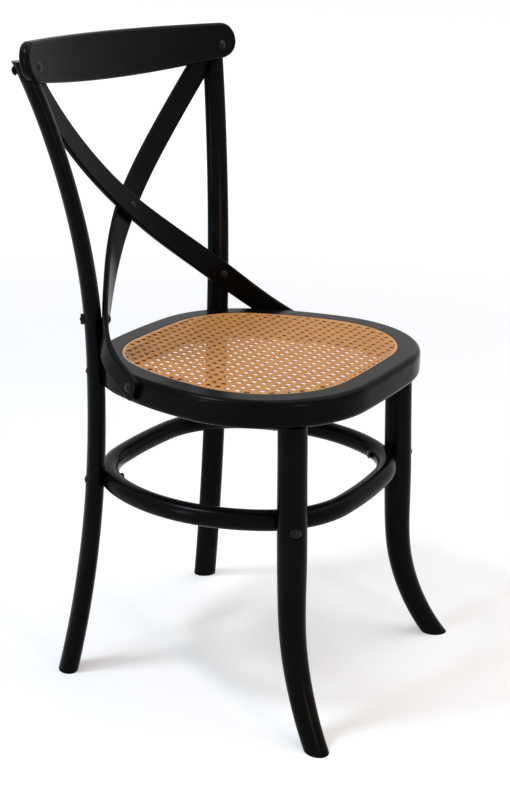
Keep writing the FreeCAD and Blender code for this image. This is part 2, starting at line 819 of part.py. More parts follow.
def rail_normal(across):
    """Unit normal of the rail's front face, towards the sitter."""
    turn = math.asin(across / BOW)
    level = Vector(-math.sin(turn), -math.cos(turn), 0) * math.cos(RAIL_LEAN)
    return level + UP * math.sin(RAIL_LEAN)


def rail_outline(margin):
    """Front view of the rail, grown by a margin: a level top, egg-shaped ends, a rising lower edge."""
    half_width = size("rail_half_width")
    upper = size("rail_upper_half")
    lower = size("rail_lower_half")
    upper_radius = size("rail_upper_corner_radius")
    lower_radius = size("rail_lower_corner_radius")
    rise = size("rail_lower_rise")
    base_radius = (half_width ** 2 + rise ** 2) / (2 * rise)
    base = Vector(0, base_radius - lower, 0)
    upper_centre = Vector(half_width - upper_radius, upper - upper_radius, 0)
    span = upper_centre - base
    near = lower_radius - upper_radius
    far = base_radius - lower_radius
    along = (span.Length ** 2 + far ** 2 - near ** 2) / (2 * span.Length)
    away = math.sqrt(far ** 2 - along ** 2)
    ahead = span * (1 / span.Length)
    lower_centre = base + ahead * along + Vector(-ahead.y, ahead.x, 0) * -away

    def heading(start, end):
        return math.degrees(math.atan2(end.y - start.y, end.x - start.x))

    base_end = heading(base, lower_centre)
    lower_end = heading(lower_centre, upper_centre)
    arcs = [
        (base, base_radius, -180 - base_end, base_end),
        (lower_centre, lower_radius, base_end, lower_end),
        (upper_centre, upper_radius, lower_end, 90.0),
        (mirrored(upper_centre), upper_radius, 90.0, 180 - lower_end),
        (mirrored(lower_centre), lower_radius, 180 - lower_end, 180 - base_end),
    ]
    return [(centre, radius + margin, start, end) for centre, radius, start, end in arcs]


def make_rail_slab(label, margin):
    """Bowed and leaning slab between the rail's two faces, widened by a margin behind."""
    body = new_body(label)
    bottom = RAIL_MIDDLE - RAIL_SLAB_HALF
    body.Placement = Placement(Vector(0, 0, bottom), Rotation())
    plan = new_sketch(body, label + "_plan", "XY_Plane")
    wide = size("rail_half_width") * RAIL_SLAB_WIDTH
    front = rail_front(0, bottom).y
    rear = rail_rear(0, bottom).y + margin
    turn = math.asin(wide / BOW)
    arcs = []
    for middle in (front, rear):
        circle = Part.Circle(Vector(0, middle - BOW, 0), UP, BOW)
        arcs.append(Part.ArcOfCircle(circle, math.pi / 2 - turn, math.pi / 2 + turn))
    drop = bow_drop(wide)
    lines = [
        Part.LineSegment(Vector(-wide, front - drop, 0), Vector(-wide, rear - drop, 0)),
        Part.LineSegment(Vector(wide, rear - drop, 0), Vector(wide, front - drop, 0)),
    ]
    for edge in (arcs[0], lines[0], arcs[1], lines[1]):
        plan.addGeometry(edge, False)
    plan.addConstraint(Sketcher.Constraint("Coincident", 0, 2, 1, 1))
    plan.addConstraint(Sketcher.Constraint("Coincident", 1, 2, 2, 2))
    plan.addConstraint(Sketcher.Constraint("Coincident", 2, 1, 3, 1))
    plan.addConstraint(Sketcher.Constraint("Coincident", 3, 2, 0, 1))
    slab = body.newObject("PartDesign::Pad", label + "_pad")
    slab.Profile = plan
    slab.UseCustomVector = True
    slab.Direction = Vector(0, math.tan(RAIL_LEAN), 1)
    slab.Length = 2 * RAIL_SLAB_HALF / math.cos(RAIL_LEAN)
    return body


def make_rail_blank(label, margin):
    """The bowed slab trimmed from the front to the rail's outline, grown by a margin."""
    body = make_rail_slab(label, margin)
    front = new_sketch(body, label + "_outline", "XZ_Plane")
    middle = RAIL_SLAB_HALF
    wide = size("rail_half_width") * RAIL_TRIM_WIDTH
    corners = [Vector(x * wide, middle + z * 2 * middle, 0) for x, z in ((-1, -1), (1, -1), (1, 1), (-1, 1))]
    for index in range(4):
        front.addGeometry(Part.LineSegment(corners[index], corners[(index + 1) % 4]), False)
    for centre, radius, start, end in rail_outline(margin):
        circle = Part.Circle(centre + Vector(0, middle, 0), UP, radius)
        front.addGeometry(Part.ArcOfCircle(circle, math.radians(start), math.radians(end)), False)
    top_half = size("rail_half_width") - size("rail_upper_corner_radius")
    top = middle + size("rail_upper_half") + margin
    front.addGeometry(Part.LineSegment(Vector(top_half, top, 0), Vector(-top_half, top, 0)), False)
    trim = body.newObject("PartDesign::Pocket", label + "_trim")
    trim.Profile = front
    trim.Midplane = True
    trim.Length = 4 * BOW
    return body


def make_top_rail():
    """Bowed board with every edge rounded, bored for its bolts and for the laths' screws."""
    body = make_rail_blank("rail_blank", 0)
    fillet(body, body.Tip, "RailEdges", "@rail_edge_radius", lambda point: True)
    way = rail_normal(RAIL_BOLT_ACROSS)
    start = rail_bolt_start() + way * BORE_REACH
    bores = holes_both_sides("RailBoltBore", start, way * -1, 3 * BORE_REACH, BOLT_BORE)
    start, way = lath_top_screw(1)
    depth = size("lath_thickness") + size("top_screw_grip") + size("bolt_tail")
    bores += holes_both_sides("RailScrewBore", start, way, depth, SCREW_BORE)
    return cut("top_rail", body, bores)


# Crossing laths

LATH_HALF = size("lath_thickness") / 2
LATH_TOP = RAIL_MIDDLE - size("lath_top_drop")
post_at_lath = rear_leg_centre(SEAT_TOP + size("lath_post_rise"))


def outline_side(angle):
    """Point of the seat's outline at a polar angle, and the outline's outward normal there."""
    point = flat(angle, outline_reach(SEAT, angle))
    for centre, radius, start, end in SEAT:
        from_centre = point - centre
        turn = math.degrees(math.atan2(from_centre.y, from_centre.x))
        if abs(from_centre.Length - radius) < 1e-3 and start - 1e-3 <= turn <= end + 1e-3:
            return point, from_centre * (1 / radius)
    raise ValueError("no outline normal at %.1f degrees" % angle)


def lath_stops(layer):
    """Route of the lath that falls towards +X: (point, normal to the front, width) from its top.

    The layer is -1 for the lath in front at the crossing and +1 for the one behind it.
    """
    clearance = size("lath_clearance")
    wide = size("lath_width")
    across = -size("lath_top_reach")
    top_normal = rail_normal(across)
    top = rail_rear(across, LATH_TOP) - top_normal * (LATH_HALF + clearance)
    lean = math.radians(size("lath_crossing_lean"))
    cross_normal = Vector(0, -math.cos(lean), math.sin(lean))
    cross = Vector(0, size("lath_crossing_back"), SEAT_TOP + size("lath_crossing_rise"))
    cross -= cross_normal * (layer * (LATH_HALF + clearance / 2))
    way = size("lath_post_angle")
    away = oval_support(post_at_lath.z, way) + LATH_HALF + clearance
    post = post_at_lath - flat(way, away)
    stops = [(top, top_normal, wide)]
    fall = cross - top
    aside = Vector(-fall.z, 0, fall.x)
    aside = aside * (-size("lath_upper_sag") / aside.Length)
    upper = mix(top, cross, 0.5) + Vector(0, size("lath_upper_bow"), 0) + aside
    stops.append((upper, mix(top_normal, cross_normal, 0.5), wide))
    stops.append((cross, cross_normal, wide))
    stops.append((post, flat(way, -1), wide))
    start, end = size("lath_rim_start_angle"), size("lath_rim_end_angle")
    for share in (0, 0.5, 1):
        side, outward = outline_side(mix(start, end, share))
        sag = size("lath_rim_sag") * 4 * share * (1 - share)
        height = mix(SEAT_TOP + size("lath_rim_start_rise"), RIM_MIDDLE, share) - sag
        point = side + outward * (LATH_HALF + clearance) + UP * height
        stops.append((point, outward * -1, mix(wide, size("lath_end_width"), (1 + share) / 2)))
    return stops


def lath_stations(layer):
    """Finely spaced (point, along, normal, width) down the lath's smooth route."""
    stops = lath_stops(layer)
    route = Part.BSplineCurve()
    route.interpolate([stop[0] for stop in stops])
    knots = [route.parameter(stop[0]) for stop in stops]
    stations = []
    for index, steps in enumerate(LATH_STEPS):
        for step in range(steps + (index == len(stops) - 2)):
            share = step / steps
            value = mix(knots[index], knots[index + 1], share)
            along = route.tangent(value)[0]
            normal = mix(stops[index][1], stops[index + 1][1], share)
            normal = normal - along * normal.dot(along)
            normal.normalize()
            wide = mix(stops[index][2], stops[index + 1][2], share)
            stations.append((route.value(value), along, normal, wide))
    return stations


def lath_section(point, along, normal, width):
    """Flat section of a lath with its four long edges rounded."""
    radius = size("lath_edge_radius")
    across = along.cross(normal)
    half = width / 2
    corners = []
    for side, face in ((1, 1), (-1, 1), (-1, -1), (1, -1)):
        before = across * (side * (half - radius)) + normal * (face * LATH_HALF)
        after = across * (side * half) + normal * (face * (LATH_HALF - radius))
        middle = across * (side * (half - radius * ROUND)) + normal * (face * (LATH_HALF - radius * ROUND))
        ends = (after, middle, before) if side == face else (before, middle, after)
        corners.append([point + end for end in ends])
    edges = []
    for index, (before, middle, after) in enumerate(corners):
        edges.append(Part.Arc(before, middle, after).toShape())
        edges.append(Part.LineSegment(after, corners[(index + 1) % 4][0]).toShape())
    return Part.Wire(edges)


def lath_blank(layer):
    wires = [lath_section(*station) for station in lath_stations(layer)]
    return Part.makeLoft(wires, True, False)


def lath_screw(layer):
    """Head seat and direction of the screw that holds the lath's lower end to the rim."""
    stops = lath_stops(layer)
    end, before = stops[-1], stops[-2]
    back = before[0] - end[0]
    back.normalize()
    out = LATH_HALF + size("head_clearance")
    return end[0] + back * size("lath_end_overlap") - end[1] * out, end[1]


def lath_top_screw(layer):
    """Head seat and direction of the screw from behind that holds the lath's upper end to the rail."""
    top, below = lath_stations(layer)[:2]
    down = below[0] - top[0]
    down.normalize()
    normal = top[2] - down * top[2].dot(down)
    normal.normalize()
    inward = down.cross(normal)
    inward = inward * (1 if inward.z > 0 else -1)
    point = top[0] + down * size("lath_top_overlap") + inward * size("lath_top_screw_offset")
    return point - normal * (LATH_HALF + size("top_head_clearance")), normal


def lath_end_trim(name, layer):
    """Block beyond the post's inner side, which the lath's upper end is cut off against."""
    height = LATH_TOP
    reach = size("lath_width")
    post = rear_leg_centre(height)
    face = post.x - oval_support(height, 180) - size("lath_clearance")
    rise = rear_leg_centre(height) - rear_leg_centre(height - reach)
    turn = Rotation(UP, Vector(-rise.x, 0, rise.z))
    trim = doc.addObject("Part::Box", name)
    trim.Length = reach
    trim.Width = 4 * reach
    trim.Height = 4 * reach
    corner = turn.multVec(Vector(reach, 2 * reach, 2 * reach))
    trim.Placement = Placement(Vector(-face, lath_stops(layer)[0][0].y, height) - corner, turn)
    return trim


def lath_corner_rounders(name, layer):
    """Tools that round both corners of the lath's lower end: a block with a cylinder taken out."""
    point, along, normal, wide = lath_stations(layer)[-1]
    radius = size("lath_end_corner_radius")
    margin = size("lath_edge_radius")
    depth = 2 * size("lath_thickness")
    tools = []
    for side in (1, -1):
        inward = along.cross(normal) * -side
        corner = point - inward * (wide / 2)
        turn = Rotation(along * -1, inward, normal * -side)
        rounder = Part.makeBox(radius + margin, radius + margin, depth, Vector(-margin, -margin, -depth / 2))
        middle = Vector(radius, radius, -depth / 2)
        rounder = rounder.cut(Part.makeCylinder(radius, depth, middle))
        rounder.Placement = Placement(corner, turn)
        tools.append(solid_feature("%s_corner%d" % (name, side + 2), rounder))
    return tools


def make_lath(label, layer):
    """One crossing lath, bored for its screws; the rear one falls to the sitter's right."""
    blank = solid_feature(label + "_blank", lath_blank(layer))
    end_start, end_way = lath_screw(layer)
    top_start, top_way = lath_top_screw(layer)
    cross, normal, wide = lath_stops(layer)[2]
    way = flat(size("lath_post_angle"))
    spots = [
        (end_start - end_way * BORE_REACH, end_way),
        (top_start - top_way * BORE_REACH, top_way),
        (cross + normal * BORE_REACH, normal * -1),
        (post_at_lath - way * BORE_REACH, way),
    ]
    tools = [lath_end_trim(label + "_trim", layer)] + lath_corner_rounders(label, layer)
    for index, (start, direction) in enumerate(spots):
        tools.append(hole("%s_bore%d" % (label, index + 1), start, direction, 2 * BORE_REACH, SCREW_BORE))
    if layer < 0:
        return cut(label, blank, tools)
    return mirror(label, cut(label + "_turned", blank, tools))


# Fasteners


def make_pin(label, head_diameter, head_height, shank_diameter, length):
    """Domed head on a plain shank, head up, with the head's seat at the origin.

    The head and shank sizes are expressions and the length is a number.
    """
    body = new_body(label)
    profile = new_sketch(body, label + "_profile", "XZ_Plane")
    radius = cell(head_diameter) / 2
    rise = cell(head_height)
    shank = cell(shank_diameter) / 2
    dome = (radius ** 2 + rise ** 2) / (2 * rise)
    circle = Part.Circle(Vector(0, rise - dome, 0), UP, dome)
    profile.addGeometry(Part.ArcOfCircle(circle, math.asin((dome - rise) / dome), math.pi / 2), False)
    corners = [
        Vector(0, rise, 0),
        Vector(0, -length, 0),
        Vector(shank, -length, 0),
        Vector(shank, 0, 0),
        Vector(radius, 0, 0),
    ]
    for first, second in zip(corners, corners[1:]):
        profile.addGeometry(Part.LineSegment(first, second), False)
    profile.addConstraint(Sketcher.Constraint("Coincident", 0, 2, 1, 1))
    profile.addConstraint(Sketcher.Constraint("Coincident", 1, 2, 2, 1))
    profile.addConstraint(Sketcher.Constraint("Coincident", 2, 2, 3, 1))
    profile.addConstraint(Sketcher.Constraint("Coincident", 3, 2, 4, 1))
    profile.addConstraint(Sketcher.Constraint("Coincident", 4, 2, 0, 1))
    turned = body.newObject("PartDesign::Revolution", label + "_turned")
    turned.Profile = profile
    turned.ReferenceAxis = (profile, ["V_Axis"])
    turned.Angle = 360
    return body


def cell(name):
    """Value of a cell written with a leading @."""
    return size(name.replace("@", ""))


def make_nut(label, thickness, shank, across, square=False):
    """Plain nut with its flat side at the origin, round or square; its sizes are expressions."""
    body = new_body(label)
    outline = new_sketch(body, label + "_outline", "XY_Plane")
    half = cell(across) / 2
    if not square:
        outline.addGeometry(Part.Circle(Vector(0, 0, 0), UP, half), False)
        outline.addConstraint(Sketcher.Constraint("Radius", 0, half))
        bind(outline, "Constraints[0]", across + " / 2")
    else:
        corners = [Vector(x * half, y * half, 0) for x, y in SQUARE]
        for index in range(4):
            outline.addGeometry(Part.LineSegment(corners[index], corners[(index + 1) % 4]), False)
            outline.addConstraint(Sketcher.Constraint("Distance", index, 2 * half))
            bind(outline, "Constraints[%d]" % index, across)
        for index in range(4):
            outline.addConstraint(Sketcher.Constraint("Coincident", index, 2, (index + 1) % 4, 1))
    pad(body, outline, label + "_pad", thickness)
    bore = new_sketch(body, label + "_bore", "XY_Plane")
    bore.addGeometry(Part.Circle(Vector(0, 0, 0), UP, cell(shank) / 2 + size("bolt_clearance")), False)
    bore.addConstraint(Sketcher.Constraint("Radius", 0, cell(shank) / 2 + size("bolt_clearance")))
    bind(bore, "Constraints[0]", shank + " / 2 + @bolt_clearance")
    pocket(body, bore, label + "_through", thickness, upward=True)
    return body


def make_dome_nut(label):
    """Domed nut with a blind bore for the bolt's end, flat side at the origin."""
    body = new_body(label)
    profile = new_sketch(body, label + "_profile", "XZ_Plane")
    radius = size("dome_nut_diameter") / 2
    rise = size("dome_nut_height")
    bore = size("bolt_shank_diameter") / 2 + size("bolt_clearance")
    depth = rise / 2 + size("bolt_clearance")
    dome = (radius ** 2 + rise ** 2) / (2 * rise)
    circle = Part.Circle(Vector(0, rise - dome, 0), UP, dome)
    profile.addGeometry(Part.ArcOfCircle(circle, math.asin((dome - rise) / dome), math.pi / 2), False)
    corners = [
        Vector(0, rise, 0),
        Vector(0, depth, 0),
        Vector(bore, depth, 0),
        Vector(bore, 0, 0),
        Vector(radius, 0, 0),
    ]
    for first, second in zip(corners, corners[1:]):
        profile.addGeometry(Part.LineSegment(first, second), False)
    turned = body.newObject("PartDesign::Revolution", label + "_turned")
    turned.Profile = profile
    turned.ReferenceAxis = (profile, ["V_Axis"])
    turned.Angle = 360
    return body


def polar_angle(way):
    """Angle in degrees of a vector's level part."""
    return math.degrees(math.atan2(way.y, way.x))


def group(label, pairs):
    """Copies of fasteners that share one node: (body, point, direction of the head)."""
    solids = []
    for body, point, direction in pairs:
        solid = body.Shape.copy()
        solid.Placement = Placement(point, Rotation(UP, direction))
        solids.append(solid)
    return solid_feature(label, Part.makeCompound(solids))


def both_sides(body, point, direction):
    return [(body, point, direction), (body, mirrored(point), mirrored(direction))]


# Fasteners in their places, each kind in one node


def ring_fastenings():
    """Bolts through each leg and the ring, with a round nut on the ring's inner side."""
    bolts, nuts = [], []
    for name, leg, way, half, reach in ring_joints():
        seat = head_start(leg, way, half)
        nut = ring_nut_start(way, reach)
        length = (seat - nut).Length + size("ring_nut_thickness") + size("bolt_tail")
        label = name + "_ring_bolt"
        bolt = make_pin(label, "@bolt_head_diameter", "@bolt_head_height", "@bolt_shank_diameter", length)
        bolts += both_sides(bolt, seat, way)
        nuts += both_sides(ring_nut, nut, way * -1)
    return bolts, nuts


def seat_fastenings():
    """Bolts through the rear legs and the rim, with nuts inside the rim."""
    seat, nut = seat_bolt_start(), seat_nut_start()
    length = (seat - nut).Length + size("ring_nut_thickness") + size("bolt_tail")
    bolt = make_pin("seat_bolt", "@seat_head_diameter", "@seat_head_height", "@bolt_shank_diameter", length)
    way = flat(REAR_POLAR)
    return both_sides(bolt, seat, way), both_sides(ring_nut, nut, way * -1)


def rail_fastenings():
    """Bolts through the rail and the posts, with domed nuts behind."""
    seat, nut = rail_bolt_start(), rail_nut_start()
    length = (seat - nut).Length + size("dome_nut_height") / 2
    bolt = make_pin("rail_bolt", "@rail_head_diameter", "@rail_head_height", "@bolt_shank_diameter", length)
    way = rail_normal(RAIL_BOLT_ACROSS)
    return both_sides(bolt, seat, way), both_sides(dome_nut, nut, way * -1)


def lath_post_fastenings():
    """Bolts through the laths and the posts, with square nuts behind."""
    way = flat(size("lath_post_angle"))
    half = oval_support(post_at_lath.z, size("lath_post_angle"))
    thick = size("lath_thickness") + size("lath_clearance") + size("head_clearance")
    seat = post_at_lath - way * (half + thick)
    nut = square_nut_start()
    length = (seat - nut).Length + size("square_nut_thickness") + size("bolt_tail")
    bolt = make_pin("lath_bolt", "@lath_head_diameter", "@lath_head_height", "@screw_shank_diameter", length)
    return both_sides(bolt, seat, way * -1), both_sides(square_nut, nut, way)


def screw_in_each_lath(screw, place):
    """The same screw in both laths; the place function gives its seat and its direction inwards."""
    start, way = place(-1)
    other_start, other_way = place(1)
    return [(screw, start, way * -1), (screw, mirrored(other_start), mirrored(other_way) * -1)]


def lath_rim_screws():
    """Domed screws that hold the laths' lower ends to the rim's side."""
    length = size("screw_length")
    screw = make_pin("rim_screw", "@lath_head_diameter", "@lath_head_height", "@screw_shank_diameter", length)
    return screw_in_each_lath(screw, lath_screw)


def lath_top_screws():
    """Screws from behind that hold the laths' upper ends to the back rail."""
    length = size("lath_thickness") + size("top_screw_grip")
    screw = make_pin("top_screw", "@top_head_diameter", "@top_head_height", "@screw_shank_diameter", length)
    return screw_in_each_lath(screw, lath_top_screw)


def crossing_screw():
    """Screw through both laths where they cross."""
    length = 2 * size("lath_thickness")
    label = "middle_screw"
    screw = make_pin(label, "@middle_head_diameter", "@middle_head_height", "@screw_shank_diameter", length)
    point, normal, wide = lath_stops(-1)[2]
    return [(screw, point + normal * (LATH_HALF + size("head_clearance")), normal)]


# Assembly

ring_blank = make_ring_bar("ring_blank", "@ring_diameter / 2")
ring_tool = make_ring_bar("ring_housing", "@ring_diameter / 2 + @ring_clearance")
rim_face = Part.Face(outline_wire(SEAT, -size("ring_clearance"), RIM_BOTTOM - size("ring_clearance")))
rim_block = rim_face.extrude(UP * (size("rim_height") + 2 * size("ring_clearance")))
rim_tool = solid_feature("rim_housing", rim_block)
rail_tool = make_rail_blank("rail_housing", size("rail_clearance"))
ring_nut = make_nut("ring_nut", "@ring_nut_thickness", "@bolt_shank_diameter", across="@ring_nut_diameter")
square_nut = make_nut(
    "square_nut", "@square_nut_thickness", "@screw_shank_diameter", across="@square_nut_side", square=True
)
dome_nut = make_dome_nut("dome_nut")
doc.recompute()

front_left = make_front_leg(ring_tool)
rear_left = make_rear_leg(ring_tool, rim_tool, rail_tool)
parts = {
    "seat_frame": make_seat_frame(),
    "cane_panel": make_cane_panel(),
    "cane_spline": make_cane_spline(),
    "front_leg_left": front_left,
    "front_leg_right": mirror("front_leg_right", front_left),
    "rear_leg_left": rear_left,
    "rear_leg_right": mirror("rear_leg_right", rear_left),
    "leg_ring": make_leg_ring(ring_blank),
    "top_rail": make_top_rail(),
    "cross_lath_front": make_lath("cross_lath_front", -1),
    "cross_lath_rear": make_lath("cross_lath_rear", 1),
}
ring_bolts, ring_nuts = ring_fastenings()
seat_bolts, seat_nuts = seat_fastenings()
rail_bolts, rail_nuts = rail_fastenings()
lath_bolts, lath_nuts = lath_post_fastenings()
fasteners = {
    "ring_bolts": ring_bolts,
    "ring_nuts": ring_nuts,
    "seat_bolts": seat_bolts,
    "seat_nuts": seat_nuts,
    "rail_bolts": rail_bolts,
    "rail_dome_nuts": rail_nuts,
    "lath_post_bolts": lath_bolts,
    "lath_square_nuts": lath_nuts,
    "lath_rim_screws": lath_rim_screws(),
    "lath_top_screws": lath_top_screws(),
    "crossing_screw": crossing_screw(),
}
doc.recompute()
for label, places in fasteners.items():
    parts[label] = group(label, places)
doc.recompute()

# The frame's origin lies on the floor, in the middle of the whole chair

foremost = front_left.Shape.optimalBoundingBox(False, False).YMin
rearmost = parts["top_rail"].Shape.optimalBoundingBox(False, False).YMax
middle = (foremost + rearmost) / 2
to_middle = Placement(Vector(0, -middle, 0), Rotation())
moved = {}
for thing in parts.values():
    own = thing.Source if thing.TypeId == "Part::Mirroring" else thing
    moved[own.Name] = own
for own in moved.values():
    own.Placement = to_middle.multiply(own.Placement)
doc.recompute()

# Checks and export

for thing in doc.Objects:
    if "Invalid" in thing.State or "Error" in thing.State:
        raise RuntimeError("%s failed to build: %s" % (thing.Name, thing.State))
os.makedirs("parts", exist_ok=True)
for label, thing in parts.items():
    shape = thing.Shape
    if shape.isNull() or not shape.isValid():
        raise RuntimeError("%s has no valid shape" % label)
    print("%-18s solids %d  volume %9.1f" % (label, len(shape.Solids), shape.Volume))
    shape.exportStep(os.path.join("parts", label + ".step"))
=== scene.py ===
"""Looks of a cross back chair with a woven cane seat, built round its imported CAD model.

Metres, +Z up, the sitter faces -Y and +X is the sitter's left, as in the CAD model.
"""

import logging
import math
from dataclasses import dataclass, field
from enum import Enum
from typing import Iterable, Sequence

import bpy
import numpy as np
from mathutils import Matrix, Vector

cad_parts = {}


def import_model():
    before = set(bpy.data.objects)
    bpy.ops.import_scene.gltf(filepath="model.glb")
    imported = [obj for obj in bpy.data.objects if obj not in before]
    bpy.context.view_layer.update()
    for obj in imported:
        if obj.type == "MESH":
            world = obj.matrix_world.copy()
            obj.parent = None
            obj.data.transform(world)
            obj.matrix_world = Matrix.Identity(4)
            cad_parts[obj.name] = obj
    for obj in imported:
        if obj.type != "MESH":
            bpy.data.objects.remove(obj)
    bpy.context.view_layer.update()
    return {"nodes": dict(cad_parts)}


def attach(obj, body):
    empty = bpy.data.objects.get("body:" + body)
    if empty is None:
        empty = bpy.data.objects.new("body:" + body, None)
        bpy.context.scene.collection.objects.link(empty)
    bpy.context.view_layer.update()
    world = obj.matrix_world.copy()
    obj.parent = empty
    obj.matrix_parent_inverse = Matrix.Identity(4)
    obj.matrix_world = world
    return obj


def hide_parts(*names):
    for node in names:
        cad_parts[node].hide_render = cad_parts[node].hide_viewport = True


LOG = logging.getLogger("cross_back_chair")
BODY = "root"


# Meshes from arrays


def mesh_object(name: str, points: np.ndarray, faces: np.ndarray, smooth: bool = True) -> bpy.types.Object:
    """Make a mesh object from whole arrays.

    Args:
        name: Name of the object and its mesh.
        points: Vertex positions, shape (n, 3), in metres.
        faces: Vertex indices of quads or triangles, shape (m, 4) or (m, 3).
        smooth: Whether the faces are shaded smooth.

    Returns:
        The object, linked to the scene and standing at the origin.
    """
    mesh = bpy.data.meshes.new(name)
    mesh.vertices.add(len(points))
    mesh.vertices.foreach_set("co", np.ascontiguousarray(points, np.float32).ravel())
    corners = faces.shape[1]
    mesh.loops.add(faces.size)
    mesh.loops.foreach_set("vertex_index", np.ascontiguousarray(faces, np.int32).ravel())
    mesh.polygons.add(len(faces))
    mesh.polygons.foreach_set("loop_start", np.arange(len(faces), dtype=np.int32) * corners)
    mesh.polygons.foreach_set("loop_total", np.full(len(faces), corners, np.int32))
    mesh.update(calc_edges=True)
    mesh.validate()
    mesh.polygons.foreach_set("use_smooth", np.full(len(mesh.polygons), smooth))
    thing = bpy.data.objects.new(name, mesh)
    bpy.context.scene.collection.objects.link(thing)
    return thing


def set_uv(thing: bpy.types.Object, uv: np.ndarray) -> None:
    """Store a UV position per vertex in the mesh's UV map.

    Args:
        thing: Mesh object.
        uv: Positions per vertex, shape (n, 2).
    """
    mesh = thing.data
    layer = mesh.uv_layers.new(name="UVMap")
    index = np.empty(len(mesh.loops), np.int32)
    mesh.loops.foreach_get("vertex_index", index)
    layer.data.foreach_set("uv", np.ascontiguousarray(uv[index], np.float32).ravel())


def tube_faces(stations: int, around: int, closed_path: bool = False) -> np.ndarray:
    """Quads of a tube whose vertices run station by station, each station being one closed section.

    Args:
        stations: Number of sections along the path.
        around: Number of points of one section.
        closed_path: Whether the last section joins the first.

    Returns:
        Face indices, shape (m, 4). They face outwards where a section runs clockwise seen
        along the path.
    """
    along = np.arange(stations if closed_path else stations - 1)[:, None]
    turn = np.arange(around)[None, :]
    following = (along + 1) % stations
    beside = (turn + 1) % around
    quads = np.stack(
        [
            along * around + turn,
            following * around + turn,
            following * around + beside,
            along * around + beside,
        ],
        axis=-1,
    )
    return quads.reshape(-1, 4)


# Outline of the seat


@dataclass(frozen=True)
class Arc:
    """One arc of the seat's outline, with angles in radians that run counter-clockwise."""

    x: float
    y: float
    radius: float
    start: float
    end: float


